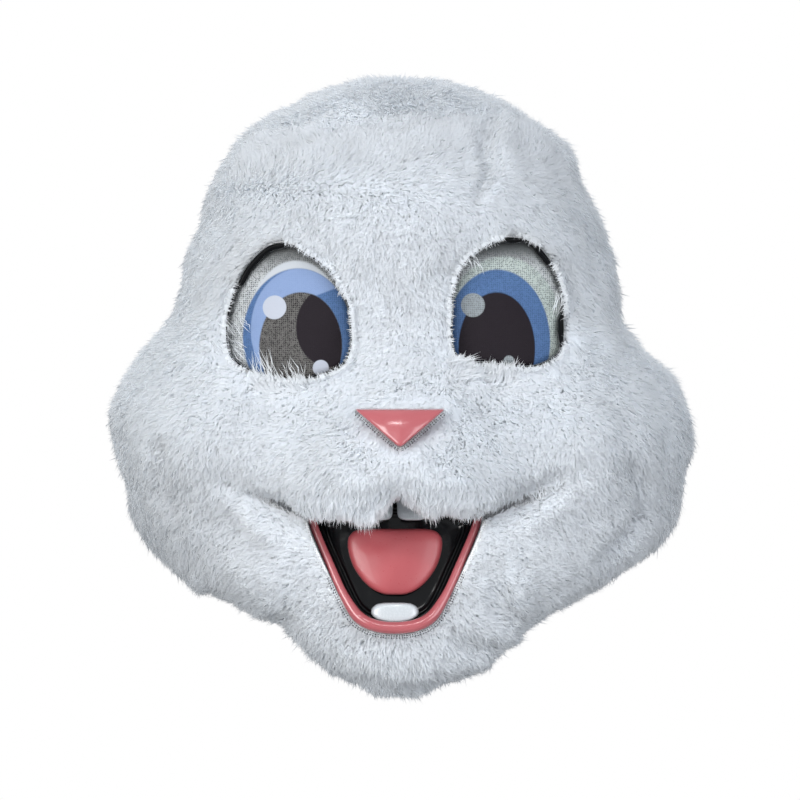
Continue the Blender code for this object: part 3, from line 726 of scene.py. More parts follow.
# Finish of the moulded pieces and threads: roughness, ripple, share of the colour in patches, shine, coat.
FINISHES = {
    "pink nose": (0.2, 0.25, 0.8, 0.5, 0.35),
    "pink lip": (0.18, 0.5, 0.72, 0.5, 0.35),
    "pink tongue": (0.34, 0.2, 0.75, 0.4, 0.1),
    "white tooth": (0.25, 0.1, 0.93, 0.5, 0.35),
    "black mouth": (0.12, 0.4, 0.8, 0.24, 0.12),
    "black rim": (0.5, 0.1, 0.8, 0.1, 0.0),
    "white thread": (0.7, 0.1, 0.8, 0.5, 0.35),
    "white lip thread": (0.7, 0.1, 0.8, 0.5, 0.35),
    "needle holes": (0.8, 0.1, 0.8, 0.1, 0.0),
    "lip needle holes": (0.8, 0.1, 0.8, 0.1, 0.0),
}


def gloss_material(name, colour):
    """Moulded gloss plastic with a faint ripple and colour that deepens in patches."""
    roughness, ripple, darker, shine, coat = FINISHES[name]
    made, tree, shader = new_material(name, roughness, Coat_Weight=coat, Coat_Roughness=0.06,
                                      Specular_IOR_Level=shine)
    place = object_coords(tree)
    patches = node(tree, "TexNoise", Vector=place, Scale=34.0, Detail=2.0).outputs[0]
    link(tree, mixed(tree, patches, rgba(colour), rgba([value * darker for value in colour])),
         shader.inputs["Base Color"])
    ripples = node(tree, "TexNoise", Vector=place, Scale=60.0, Detail=1.5).outputs[0]
    fine = node(tree, "TexNoise", Vector=place, Scale=900.0, Detail=2.0).outputs[0]
    wear = node(tree, "MapRange", i0=fine, i1=0.3, i2=0.7, i3=roughness * 0.8, i4=roughness * 1.3).outputs[0]
    link(tree, wear, shader.inputs["Roughness"])
    bump = node(tree, "Bump", Strength=ripple, Distance=0.002, Height=ripples)
    link(tree, bump.outputs[0], shader.inputs["Normal"])
    return made


def view_place(px, py, depth):
    """The place across and above the origin of a pixel of the photograph, at a depth along Y."""
    reach = (depth + CAMERA_DISTANCE) / FOCAL_PIXELS
    return (px - PHOTO_CENTRE[0]) * reach, CAMERA_HEIGHT + (PHOTO_CENTRE[1] - py) * reach


def oval_mask(tree, place, depth, centre, radii, softness):
    """An oval measured on the photograph, in pixels, as a mask on the printed mesh."""
    middle = view_place(*centre, depth)
    scale = (depth + CAMERA_DISTANCE) / FOCAL_PIXELS
    return placed_group(tree, "oval", Vector=place, Centre=(middle[0], 0.0, middle[1]),
                        Radii=(radii[0] * scale, 1.0, radii[1] * scale), Softness=softness)["Mask"]


def beyond_line(tree, place, depth, start, end, softness=0.0006):
    """A mask that is 1 below a slanted line through two places of the photograph, running to the right."""
    first, last = (Vector(view_place(*point, depth)) for point in (start, end))
    along = (last - first).normalized()
    apart = vector_maths(tree, "SUBTRACT", place, (first.x, 0.0, first.y))
    under = vector_maths(tree, "DOT_PRODUCT", apart, (along.y, 0.0, -along.x))
    return node(tree, "MapRange", i0=under, i1=-softness, i2=softness, i3=0.0, i4=1.0).outputs[0]


def shade_above(tree, place, depth, top, reach, most):
    """A mask of painted shadow that grows up to a share towards the top of an eye, given by its height in
    the photograph.
    """
    upper = node(tree, "SeparateXYZ", Vector=place).outputs["Z"]
    high = view_place(0, top, depth)[1]
    return node(tree, "MapRange", {"interpolation_type": "SMOOTHSTEP"}, i0=upper, i1=high - reach,
                i2=high - SHADE_END, i3=0.0, i4=most).outputs[0]


EYE_DEPTH = -0.128  # how far forward the printed meshes are, where their print is measured
SHADE_END = 0.004
RIM_THIN, RIM_WIDE = 0.0008, 0.0034
# Where the rim shows, in degrees from the top of the eye: the middle of each place and how far to each side.
RIM_SHOWS = {"left": ((-33, 33),), "right": ((5, 10), (41, 13), (115, 13))}


# The ovals of each eye's print, and of the painted light behind the left eye's mesh, as pixels of the
# photograph: centre, radii and softness of the edge.
EYE_OVALS = {
    "left": {
        "ring": ((295, 336), (51, 76), 0.02),
        "iris": ((297, 335), (55, 67), 0.02),
        # The patch of painted light from behind the left eye's mesh.
        "light": ((299, 328), (49, 60), 0.02),
        "pupil": ((300.5, 346), (41.5, 54), 0.02),
        "solid": ((330, 327), (34, 40), 0.02),
        "highlight": ((274, 307), (12, 12), 0.05),
        "low_highlight": ((321, 368), (8, 8), 0.06),
    },
    "right": {
        "ring": ((504, 342), (63, 86), 0.02),
        "iris": ((498, 340), (53, 71), 0.02),
        "pupil": ((497, 348), (38.5, 56), 0.02),
        "highlight": ((473, 305), (12, 12), 0.05),
        "low_highlight": ((509, 361), (5.5, 5.5), 0.08),
    },
}
# The lines that bound the dark side of the left iris, where no painted light from behind shows through, as
# pixels of the photograph.
IRIS_LINES = (((312, 297), (333, 289)), ((307, 380), (308, 280)))
# The painted shadow at the top of each eye, in the recess under the overhanging fur: the pixel row it is
# measured from, its reach in metres, its strength.
EYE_SHADES = {"left": (242, 0.028, 0.85), "right": (238, 0.022, 1.0)}


def eye_material(side, settings):
    """The printed open mesh of one eye: grey weave, iris, pupil and highlights, laid over each other, with
    painted shadow at its top and, on the left eye, painted light from behind the mesh.
    """
    made, tree, shader = new_material("printed eye mesh " + side, 0.6, Specular_IOR_Level=0.1)
    place = object_coords(tree)
    threads = placed_group(tree, "crossing threads", Vector=place, Pitch=settings.mesh_pitch, Unevenness=0.8)
    ovals = {name: oval_mask(tree, place, EYE_DEPTH, *oval) for name, oval in EYE_OVALS[side].items()}
    # A mask of painted shadow towards the top of the eye.
    shade = shade_above(tree, place, EYE_DEPTH, *EYE_SHADES[side])

    def both(first, second):
        return maths(tree, "MULTIPLY", first, second)

    def woven(thread, gap, share=1.0):
        return mixed(tree, both(threads["Gaps"], share), rgba(thread), rgba(gap))

    white, shadow = settings.white_colour, settings.white_shadow_colour
    if side == "left":
        dark_side = both(*(beyond_line(tree, place, EYE_DEPTH, *line) for line in IRIS_LINES))
        # Painted light: where light from behind shows through the left mesh, its blue and black print is
        # painted lighter.
        light = both(both(ovals["light"], maths(tree, "SUBTRACT", 1.0, dark_side)), ovals["iris"])
        solid = both(ovals["pupil"], ovals["solid"])
        colour = woven(white, shadow, 0.9)
        layers = (
            # Painted shadow at the top of the eye, in the recess under the overhanging fur.
            (shade, rgba(settings.top_shadow_colour)),
            (ovals["ring"], rgba(settings.ring_colour)),
            (ovals["iris"], woven(settings.iris_dark_colour, settings.iris_gap_colour, 0.5)),
            (light, woven(settings.iris_lit_through_colour, settings.iris_dark_colour, 0.12)),
            (ovals["pupil"], woven(settings.pupil_lit_through_colour, settings.pupil_gap_colour)),
            (solid, woven(settings.pupil_colour, settings.pupil_gap_colour, 0.25)),
            (ovals["highlight"], rgba(settings.highlight_colour)),
            (ovals["low_highlight"], rgba(settings.highlight_colour)),
        )
    else:
        spot = woven(settings.dull_highlight_colour, shadow, 0.6)
        colour = woven(white, shadow, 0.8)
        layers = (
            # Painted shadow at the top of the eye, in the recess under the overhanging fur.
            (shade, woven(settings.top_shadow_colour, shadow, 0.5)),
            (ovals["ring"], woven(settings.green_white_colour, shadow, 0.75)),
            (ovals["iris"], woven(settings.iris_dark_colour, settings.iris_gap_colour, 0.55)),
            (ovals["pupil"], woven(settings.pupil_colour, settings.pupil_gap_colour, 0.35)),
            (ovals["highlight"], spot),
            (ovals["low_highlight"], spot),
        )
    for mask, paint in layers:
        colour = mixed(tree, mask, colour, paint)
    link(tree, colour, shader.inputs["Base Color"])
    bump = node(tree, "Bump", Strength=0.35, Distance=0.0004, Height=threads["Height"])
    link(tree, bump.outputs[0], shader.inputs["Normal"])
    return made


def plush_tree():
    """The smooth surface of the face's tips, to find how far forward the plush stands at a place."""
    degrees, levels = np.arange(-84, 85, 3), np.arange(0, TOP_LEVEL, 1 / 3)
    turns, heights = (grid.ravel() for grid in np.meshgrid(np.radians(degrees), levels, indexing="ij"))
    points = [Vector(point) for point in head_points(turns, heights, muzzle=True)]
    rows = len(levels)
    faces = [[c * rows + r, (c + 1) * rows + r, (c + 1) * rows + r + 1, c * rows + r + 1]
             for c in range(len(degrees) - 1) for r in range(rows - 1)]
    return BVHTree.FromPolygons(points, faces)


TREE = plush_tree()


def plush_front(across, height):
    """How far forward the plush stands at places of the front view."""
    rays = (TREE.ray_cast(Vector((x, -1.0, z)), Vector((0, 1, 0)))[0].y for x, z in zip(across, height))
    return np.fromiter(rays, float)


def mouth_depth(across, height):
    from_middle = across - MOUTH_ACROSS
    return MOUTH_FRONT + MOUTH_LEAN * (height - MOUTH_LOW) + MOUTH_BEND * from_middle * from_middle


def tongue_depth(across, height):
    """The tongue's front dips a little at its upper left."""
    dent = np.exp(-(((across + 0.016) / 0.013) ** 2) - ((height - 0.1055) / 0.008) ** 2)
    return mouth_depth(across, height) + 0.0016 * dent


def nose_depth(across, height):
    """The nose is a low dome that stands more upright than the plush it is sewn to."""
    upright = np.full_like(height, NOSE_HEIGHT + 0.25 * NOSE_TALL)
    from_top = np.maximum(height - NOSE_HEIGHT - 0.50 * NOSE_TALL, 0) / 0.0160
    dome = 0.0050 * (1 - (across / 0.040) ** 2 - from_top * from_top)
    return 0.22 * plush_front(across, height) + 0.78 * plush_front(across, upright) - dome


def rim_shown(side, turn):
    """How far the black rim of an eye shows at turns from its top, in radians: from 0 to 1."""
    shown = np.zeros_like(turn)
    for middle, reach in RIM_SHOWS[side]:
        apart = np.abs((turn - math.radians(middle) + math.pi) % math.tau - math.pi)
        shown = np.maximum(shown, smooth_step(math.radians(reach + 4), math.radians(reach - 8), apart))
    return shown


def rim_wall(side, steps):
    """The width of the black rim round an eye: it is nearly hidden where it doesn't show."""
    return RIM_THIN + (RIM_WIDE - RIM_THIN) * rim_shown(side, math.tau * np.arange(steps) / steps)


def prism(outline, near, far):
    """A cutter: an outline of the front view, extruded from near to far along Y."""
    bm = bmesh.new()
    places = lowered(np.stack([outline[:, 0], np.full(len(outline), near), outline[:, 1]], axis=1))
    face = bm.faces.new([bm.verts.new(point) for point in places])
    extruded = bmesh.ops.extrude_face_region(bm, geom=[face])
    moved = [item for item in extruded["geom"] if isinstance(item, bmesh.types.BMVert)]
    bmesh.ops.translate(bm, verts=moved, vec=(0, far - near, 0))
    bmesh.ops.recalc_face_normals(bm, faces=bm.faces)
    made = bpy.data.objects.new("cutter", mesh_of(bm, "cutter"))
    bpy.context.scene.collection.objects.link(made)
    return made


OPENINGS = {
    "face_panel": {"eye_left": egg_outline("left", 60), "eye_right": egg_outline("right", 60),
                   "nose": moved_edge(nose_outline(8), CLEAR)},
    "jaw_panel": {"mouth": moved_edge(half_outline(DISH_HALF, MOUTH_ACROSS, MOUTH_LOW, 4), CLEAR)},
}
OPENING_REACH = (-0.30, -0.05)
SEWN_MARGIN, EYE_MARGIN = 0.0011, 0.0007  # the pile is trimmed this far from a sewn edge, and from an eye


def panel_cloth(name, backing):
    """The thin backing of one panel, folded, cut open for what is set in it, with its own thickness."""
    columns, rows = PANELS[name][5:]
    inset = SEAM_GAP / 2 / 0.3

    def place(across, up):
        whole = name == "crown_panel"
        across = across if whole else inset + (1 - 2 * inset) * across
        points, normals, _ = plush_place(name, across, inset + (1 - inset) * up if whole else up)
        return points - normals * PILE

    mesh = wrapped_grid(name.replace("panel", "cloth"), columns, rows, place, name == "crown_panel")
    made = new_object(mesh.name, mesh, backing)
    solid = made.modifiers.new("thickness", "SOLIDIFY")
    solid.thickness, solid.offset, solid.use_quality_normals = CLOTH, -1.0, True
    cutters = [prism(outline, *OPENING_REACH) for outline in OPENINGS.get(name, {}).values()]
    for cutter in cutters:
        modifier = made.modifiers.new("opening", "BOOLEAN")
        modifier.operation, modifier.solver, modifier.object = "DIFFERENCE", "EXACT", cutter
    bpy.context.view_layer.update()
    finished = bpy.data.meshes.new_from_object(made.evaluated_get(bpy.context.evaluated_depsgraph_get()))
    made.modifiers.clear()
    made.data = finished
    for cutter in cutters:
        bpy.data.objects.remove(cutter)
    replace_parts(made, name)
    return made


# Where single locks lie their own way, in millimetres across and above the chin: middle, reach, direction
# across and up, how much longer and how flat they lie.
WISPS = (
    (-84, 212, 13, -0.55, 0.85, 1.35, 0.7),
    (-66, 210, 8, -0.3, 0.9, 1.1, 0.6),
    (-115, 244, 10, 0.75, -0.65, 1.0, 0.6),
    (-118, 226, 9, 0.8, -0.5, 1.1, 0.6),
    (40, 217, 10, 0.35, 0.85, 1.3, 0.6),
    (66, 216, 12, 0.1, 0.9, 0.9, 0.3),
    (108, 262, 8, -0.6, -0.7, 0.9, 0.5),
    (-38, 273, 8, -0.5, -0.85, 1.0, 0.5),
)


# Long loose locks over the edges of the eyes: where their roots are, across and above the chin, how far they
# run and rise, how far the roots scatter, all in millimetres, and how many there are.
STRANDS = (
    (-86, 211, -5, 15, 8, 30),
    (-70, 211, -4, 10, 8, 22),
    (-115, 252, 8, -10, 9, 16),
    (-119, 236, 8, -8, 10, 22),
    (-117, 220, 9, -3, 7, 14),
    (-50, 292, 5, -8, 6, 12),
    (34, 222, 12, 3, 6, 18),
    (40, 214, 14, 2, 6, 22),
    (62, 214, 2, 8, 8, 16),
    (74, 218, 6, 6, 8, 14),
    (108, 272, -4, -15, 6, 16),
    (44, 292, 5, -8, 8, 14),
)


def strand_places(rng):
    """The roots, middles and tips of the loose locks over the eyes' edges, and the way each is wide."""
    rows = np.array(STRANDS, float)
    x, z, run, rise, scatter = np.repeat(rows[:, :5], rows[:, 5].astype(int), axis=0).T * MM
    count = len(x)
    across, height = x + scatter * rng.uniform(-1, 1, count), z + 0.35 * scatter * rng.uniform(-1, 1, count)
    way = np.stack([run, np.zeros(count), rise], axis=1) * (1 + rng.normal(0, 0.28, count))[:, None]
    way += rng.normal(0, 0.0016, (count, 3)) * (1, 0.4, 1)
    root = np.stack([across, plush_front(across, height) + 0.003, height], axis=1)
    bow = [rng.normal(0, 0.0014, count), np.full(count, -0.0042), rng.normal(0, 0.0008, count)]
    middle = root + 0.5 * way + np.stack(bow, axis=1)
    tip = root + way + np.array([0.0, -0.0025, 0.0])
    aside = unit(np.cross((0.0, 1.0, 0.0), way) + rng.normal(0, 0.002, (count, 3)))
    return root, middle, tip, aside * (0.00019 * rng.uniform(0.7, 1.4, count))[:, None]


EDGE_LOCKS = 800  # short locks that lean over the edge of each eye where its black rim doesn't show


def edge_places(side, rng):
    """The roots, middles and tips of the short locks round an eye, and the way each is wide."""
    steps = 360
    outline = egg_outline(side, steps)
    index = rng.integers(0, steps, EDGE_LOCKS)
    index = index[rng.random(EDGE_LOCKS) > rim_shown(side, math.tau * index / steps)]
    count = len(index)
    along = unit(np.roll(outline, -1, axis=0) - np.roll(outline, 1, axis=0))[index]
    outwards = np.stack([-along[:, 1], along[:, 0]], axis=1)
    outwards *= np.sign(np.sum(outwards * (outline[index] - np.array(EYES[side][:2])), axis=1))[:, None]
    root = outline[index] + outwards * rng.uniform(0.0016, 0.0042, count)[:, None]
    tip = outline[index] - outwards * rng.normal(0.0017, 0.0009, count)[:, None]
    tip += along * rng.normal(0, 0.0017, count)[:, None] - np.array([0.0, 0.0006])
    front = plush_front(*root.T)
    root = np.stack([root[:, 0], front + 0.0006, root[:, 1]], axis=1)
    tip = np.stack([tip[:, 0], front + rng.uniform(0.0004, 0.0026, count), tip[:, 1]], axis=1)
    middle = (root + tip) / 2 - np.array([0.0, 0.0013, 0.0])
    aside = unit(np.cross((0.0, 1.0, 0.0), tip - root))
    return root, middle, tip, aside * (0.00022 * rng.uniform(0.7, 1.4, count))[:, None]


def nap_directions(name, points, normals, rng):
    """Which way the pile lies at places of a panel, as unit vectors along the cloth."""
    across, depth, height = points.T
    nothing = np.zeros_like(across)
    flow = np.stack([4.2 * across, nothing, nothing - 1.0], axis=1)
    if name == "jaw_panel":
        around = np.stack([(across - MOUTH_ACROSS) / 0.075, nothing, (height - 0.100) / 0.070], axis=1)
        near = smooth_step(0.16, 0.05, np.abs(across))[:, None]
        flow = flow * (1 - near) + unit(around) * near
    if name == "face_panel":
        brow = smooth_step(0.315, 0.375, height)[:, None]
        flow = flow * (1 - brow) + np.stack([5 * across, nothing, nothing + 0.8], axis=1) * brow
        flow[:, 0] += 3 * (brow * (1 - brow))[:, 0]
    if name == "crown_panel":
        flow = unit(np.stack([across, depth, nothing], axis=1)) + np.array([0, 0, -0.6])
    if name.startswith(("side", "back")):
        flow = np.stack([across, 0.35 * np.sign(depth), nothing - 1.0], axis=1)
    swirl = 0.5 * value_noise(points, 48, 21) + 0.4 * value_noise(points, 17, 22)
    swirl += rng.normal(0, 0.55, len(points))
    flow = unit(flow - normals * np.sum(flow * normals, axis=1)[:, None])
    aside = np.cross(normals, flow)
    return flow * np.cos(swirl)[:, None] + aside * np.sin(swirl)[:, None]


def panel_grid(name, across, up):
    """The folded surface of a panel's tips on a fine grid: points and normals, one row for each column."""
    shares = np.meshgrid(np.arange(across + 1) / across, np.arange(up + 1) / up, indexing="ij")
    points, normals, _ = plush_place(name, *(share.ravel() for share in shares))
    points = points.reshape(across + 1, up + 1, 3)
    around, rising = np.gradient(points, axis=0), np.gradient(points, axis=1)
    folded = np.cross(around, rising).reshape(-1, 3)
    flat = np.linalg.norm(folded, axis=1) < 1e-12
    folded = np.where(flat[:, None], normals, unit(folded)).reshape(points.shape)
    return points, folded


def scattered(grid, count, weight, rng):
    """Random places on a grid of points, evenly by area and by weight: cells and shares within them."""
    first = np.cross(grid[1:, :-1] - grid[:-1, :-1], grid[:-1, 1:] - grid[:-1, :-1])
    second = np.cross(grid[1:, 1:] - grid[1:, :-1], grid[1:, 1:] - grid[:-1, 1:])
    area = (np.linalg.norm(first, axis=2) + np.linalg.norm(second, axis=2)) * weight
    total = np.cumsum(area.ravel())
    chosen = np.searchsorted(total, rng.random(count) * total[-1])
    column, row = np.unravel_index(np.minimum(chosen, area.size - 1), area.shape)
    return column, row, rng.random(count), rng.random(count)


def between(grid, column, row, u, v):
    u, v = u[:, None], v[:, None]
    low = grid[column, row] * (1 - u) + grid[column + 1, row] * u
    high = grid[column, row + 1] * (1 - u) + grid[column + 1, row + 1] * u
    return low * (1 - v) + high * v


def pile_mesh(name, base, middle, tip, aside, tone, normals):
    """Locks as leaves of two triangles: a root, two sides at the middle and a tip, joined in one mesh."""
    count = len(base)
    points = np.stack([base, middle + aside, tip, middle - aside], axis=1).reshape(-1, 3)
    corners = (np.arange(count) * 4)[:, None] + np.array([0, 1, 3, 1, 2, 3])
    mesh = bpy.data.meshes.new(name)
    mesh.vertices.add(4 * count)
    mesh.vertices.foreach_set("co", lowered(points).astype(np.float32).ravel())
    mesh.loops.add(6 * count)
    mesh.loops.foreach_set("vertex_index", corners.ravel().astype(np.int32))
    mesh.polygons.add(2 * count)
    mesh.polygons.foreach_set("loop_start", (np.arange(2 * count) * 3).astype(np.int32))
    mesh.update(calc_edges=True)
    mesh.shade_smooth()
    mesh.attributes.new("tone", "FLOAT", "POINT").data.foreach_set("value", tone.astype(np.float32).ravel())
    mesh.normals_split_custom_set_from_vertices(normals.reshape(-1, 3).tolist())
    return mesh


FORWARD = np.array([0.0, -1.0, 0.0])
MUZZLE_LIGHT = np.array([0.0, -1.0, 0.30])  # the lower muzzle is lit as if it faced this way
UNDER_LENGTH, UNDER_WIDTH, OVER_WIDTH = 0.76, 2.3, 0.85
# Painted shade along each lock, darkest at its root where the locks shade each other.
LOCK_ROOT_SHADE = (0.25, 0.72, 1.0, 0.72)  # at a lock's four corners: root, one side, tip, other side


def turn_at_openings(panel, flat, nap, stand, length):
    """The pile stands up and turns away at an opening, but leans a little over an eye where no rim shows."""
    keep = np.ones(len(flat), bool)
    for opening, outline in OPENINGS.get(panel, {}).items():
        distance, away = edge_distance(outline, flat)
        at_eye = opening.startswith("eye")
        keep &= distance > (EYE_MARGIN if at_eye else SEWN_MARGIN)
        turn_away = smooth_step(0.012, 0.001, distance)
        if opening == "nose":
            turn_away *= np.where(away[:, 1] > 0.5, 0.35, 1.0)
        upright = smooth_step(0.016, 0.004, distance)[:, None]
        stand = unit(stand * (1 - upright) + FORWARD * upright)
        outwards = np.stack([away[:, 0], np.zeros(len(flat)), away[:, 1]], axis=1)
        inward = np.minimum(np.sum(nap * outwards, axis=1), 0.0)
        push = 0.35 * turn_away
        if at_eye:
            side = opening.removeprefix("eye_")
            across, middle_height, _ = EYES[side]
            shown = rim_shown(side, np.arctan2(flat[:, 0] - across, flat[:, 1] - middle_height))
            close = smooth_step(0.011, 0.002, distance)
            push = 0.5 * shown * turn_away - 0.2 * (1 - shown) * close
        nap = nap - outwards * (inward * turn_away)[:, None] + outwards * push[:, None]
        length *= 1 - 0.30 * turn_away
    return nap, stand, keep


def comb_face(tips, nap, length, rng):
    """Lobes of pile hang over the mouth, and wisps at the eyes lie their own way.

    Gives the nap, how flat each lock lies, how far it hangs and how low on the muzzle it is, and which stay.
    """
    flat = tips[:, (0, 2)]
    over = flat[:, 1] - smile_height(flat[:, 0])
    aside = np.abs(flat[:, 0] - MOUTH_ACROSS)
    mouth = smooth_step(0.075, 0.055, aside)
    hanging = smooth_step(0.064, 0.044, aside) * smooth_step(0.013, 0.004, over)
    lower_muzzle = mouth * smooth_step(0.032, 0.008, over)
    lobes = -0.30 + 0.26 * value_noise(tips * (1, 0, 0), 9, 51)
    lobes += 0.32 * smooth_step(-0.05, -0.03, flat[:, 0]) * smooth_step(-0.0035, -0.008, flat[:, 0])
    lobes -= 0.06 * np.exp(-(((flat[:, 0] - 0.009) / 0.008) ** 2))
    lobes -= 0.35 * np.exp(-(((flat[:, 0] - CLEFT_ACROSS) / 0.0035) ** 2))
    length *= 1 + hanging * lobes
    lie = np.zeros(len(tips))
    for x, z, reach, run, rise, more, flatter in WISPS:
        near = smooth_step(1.2, 0.5, np.hypot(flat[:, 0] / MM - x, flat[:, 1] / MM - z) / reach)
        chosen = near * (rng.random(len(tips)) < 0.75)
        nap = nap * (1 - chosen[:, None]) + np.array([run, 0.0, rise]) * chosen[:, None]
        length *= 1 + (more - 1) * chosen
        lie += flatter * chosen
    return nap, lie, hanging, lower_muzzle, over > 0.0016 * mouth


def curved_locks(base, stand, nap, length, lie, settings, rng):
    """The middles, tips and ways of locks that lean a little at the root and more at the tip."""
    count = len(base)
    low = math.radians(settings.root_lean) + rng.normal(0, 0.16, count) + 0.4 * lie
    high = math.radians(settings.tip_lean) + rng.normal(0, 0.20, count) + 0.2 * lie
    low, high = np.clip(low, 0.0, 1.35), np.clip(high, 0.1, 1.45)
    first = stand * np.cos(low)[:, None] + nap * np.sin(low)[:, None]
    second = stand * np.cos(high)[:, None] + nap * np.sin(high)[:, None]
    middle = base + first * (0.5 * length)[:, None]
    return middle, middle + second * (0.5 * length)[:, None], second


def gather_tufts(base, middle, tip, settings, rng):
    """Draws the tips and middles of locks towards the middle of their tuft."""
    uneven = np.stack([value_noise(base, 9, 41 + axis) for axis in range(3)], axis=1)
    tuft = np.floor(base / (settings.tuft_size * MM) + 0.45 * uneven).astype(np.int64)
    _, which = np.unique(tuft, axis=0, return_inverse=True)
    which = which.ravel()
    members = np.bincount(which)
    centre = np.stack([np.bincount(which, tip[:, axis]) / members for axis in range(3)], axis=1)[which]
    gather = settings.tuft_pull * rng.random(len(base)) * np.minimum(members[which] / 4, 1)
    tip += (centre - tip) * gather[:, None]
    middle += (centre - tip) * (0.25 * gather)[:, None]


def lock_sides(way, normals, rng):
    """The way each lock is wide, chosen so that its face looks outwards, and the way it faces."""
    spread = unit(np.cross(way, normals) + 0.55 * rng.normal(0, 1, way.shape))
    spread = unit(spread - way * np.sum(spread * way, axis=1)[:, None])
    face = np.cross(spread, way)
    spread *= np.where(np.sum(face * normals, axis=1) < 0, -1.0, 1.0)[:, None]
    return spread, unit(np.cross(spread, way))


def grow_pile(panel, name, count, settings, material, seed, longer=1.0, wider=1.0):
    """The pile of one panel: curved locks that follow the nap, gather in tufts and turn away at openings."""
    rng = np.random.default_rng(seed)
    columns, rows = PANELS[panel][5:]
    points_grid, normals_grid = panel_grid(panel, 2 * columns, 2 * rows)
    cells = (points_grid[:-1, :-1] + points_grid[1:, 1:]) / 2
    facing = smooth_step(0.02, -0.06, cells[..., 1])
    weight = settings.hidden_share + (1 - settings.hidden_share) * facing
    place = scattered(points_grid, count, weight, rng)
    tips, normals = between(points_grid, *place), unit(between(normals_grid, *place))
    nap = nap_directions(panel, tips, normals, rng)
    length = longer * settings.lock_length * (1 + rng.normal(0, 0.13, count))
    length *= 1 + 0.16 * value_noise(tips, 12, 31) + 0.12 * value_noise(tips, 30, 32)
    under = rng.random(count) < settings.under_share
    length *= np.where(under, UNDER_LENGTH, 1.0)
    nap, stand, keep = turn_at_openings(panel, tips[:, (0, 2)], nap, normals.copy(), length)
    lie, hanging, lower_muzzle = np.zeros((3, count))
    if panel == "face_panel":
        nap, lie, hanging, lower_muzzle, stays = comb_face(tips, nap, length, rng)
        keep &= stays
    nap = unit(nap - stand * np.sum(nap * stand, axis=1)[:, None])
    down = 0.6 * hanging[:, None]
    nap = nap * (1 - down) + np.array([0.0, -0.15, -1.0]) * down
    base = tips - stand * PILE
    middle, tip, way = curved_locks(base, stand, nap, length, lie, settings, rng)
    gather_tufts(base, middle, tip, settings, rng)
    spread, face = lock_sides(way, normals, rng)
    half = 0.5 * wider * settings.lock_width * (1 + rng.normal(0, 0.2, count))
    half *= np.where(under, UNDER_WIDTH, OVER_WIDTH) * (1 - 0.3 * hanging)
    half *= 1 + settings.hidden_widening * (1 - smooth_step(0.02, -0.06, tips[:, 1]))
    shade = 1 + rng.normal(0, 0.07, count)
    # Each lock's random brightness times the painted shade along it.
    tone = (shade[:, None] * LOCK_ROOT_SHADE).clip(0, 1)
    turned = 0.85 * lower_muzzle[:, None]
    lit = normals * (1 - turned) + MUZZLE_LIGHT * turned
    soft = unit(lit * settings.softness + face * (1 - settings.softness))
    chosen = [array[keep] for array in (base, middle, tip, spread * half[:, None], tone, soft)]
    if name == "face_pile_over":
        parts = (strand_places(rng), edge_places("left", rng), edge_places("right", rng))
        strands = [np.concatenate(part) for part in zip(*parts)]
        loose = len(strands[0])
        more = (*strands, np.full((loose, 4), 0.95), np.tile((0.0, -0.98, 0.2), (loose, 1)))
        chosen = [np.concatenate(pair) for pair in zip(chosen, more)]
    *chosen, soft = chosen
    mesh = pile_mesh(name, *chosen, np.repeat(soft, 4, axis=0))
    return new_object(name, mesh, material)


EYE_STEPS, RIM_SIDES, RIM_SQUARENESS = 96, 20, 4.0
TAPE_STEPS, TAPE_SIDES, TAPE_SQUARENESS = 180, 16, 5.0


def rounded_square(section, squareness):
    """Places round a square with rounded corners that reaches from -1 to 1, at shares of its round."""
    turn = math.tau * section
    wide, deep = np.cos(turn), np.sin(turn)
    spread = (np.abs(wide) ** squareness + np.abs(deep) ** squareness) ** (-1 / squareness)
    return (wide * spread)[:, None], (deep * spread)[:, None]


def eye_frame(side, material):
    """The black rim round one eye, behind the pile: a rounded band along the opening."""
    outer = egg_outline(side, EYE_STEPS, CLEAR)
    inner = moved_edge(outer, -rim_wall(side, EYE_STEPS)[:, None])
    front = plush_front(*outer.T) + FRAME_RECESS
    middle = (outer + inner) / 2

    def place(around, section):
        index = np.round(around * EYE_STEPS).astype(int) % EYE_STEPS
        wide, deep = rounded_square(section, RIM_SQUARENESS)
        flat = middle[index] + (outer[index] - inner[index]) / 2 * wide
        depth = front[index] + FRAME_DEPTH / 2 * (1 - deep[:, 0])
        return np.stack([flat[:, 0], depth, flat[:, 1]], axis=1)

    name = "eye_rim_" + side
    made = new_object(name, wrapped_grid(name, EYE_STEPS, RIM_SIDES, place), material)
    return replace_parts(made, "eye_frame_" + side)


def eye_print(side, material):
    """The printed mesh of one eye, a thin dome in its frame."""
    across, height, half_width = EYES[side]
    seat = moved_edge(egg_outline(side, EYE_STEPS, 2 * CLEAR), -rim_wall(side, EYE_STEPS)[:, None])
    rim_depth = plush_front(*seat.T).mean()

    def mesh_depth(x, z):
        edge = np.minimum(np.hypot((x - across) / half_width, (z - height) / EYE_HALF_HEIGHT), 1.0)
        reach = np.maximum(edge, 0.001)
        rim_x, rim_z = across + (x - across) / reach * 0.9, height + (z - height) / reach * 0.9
        near, far = plush_front(rim_x, rim_z), plush_front(2 * across - rim_x, 2 * height - rim_z)
        chord = rim_depth + ((near + far) / 2 - rim_depth) * edge * edge + (near - far) / 2 * edge
        return chord + MESH_RECESS + FRAME_RECESS - MESH_BULGE * (1 - edge * edge)

    shares = np.linspace(0, 1, 12)
    profile = [(share, 0) for share in shares] + [(share, MESH_THICKNESS / MM) for share in shares[::-1]]
    name = "eye_print_" + side
    made = new_object(name, moulded_pad(name, seat, profile, mesh_depth, steps=1), material)
    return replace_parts(made, "eye_mesh_" + side)


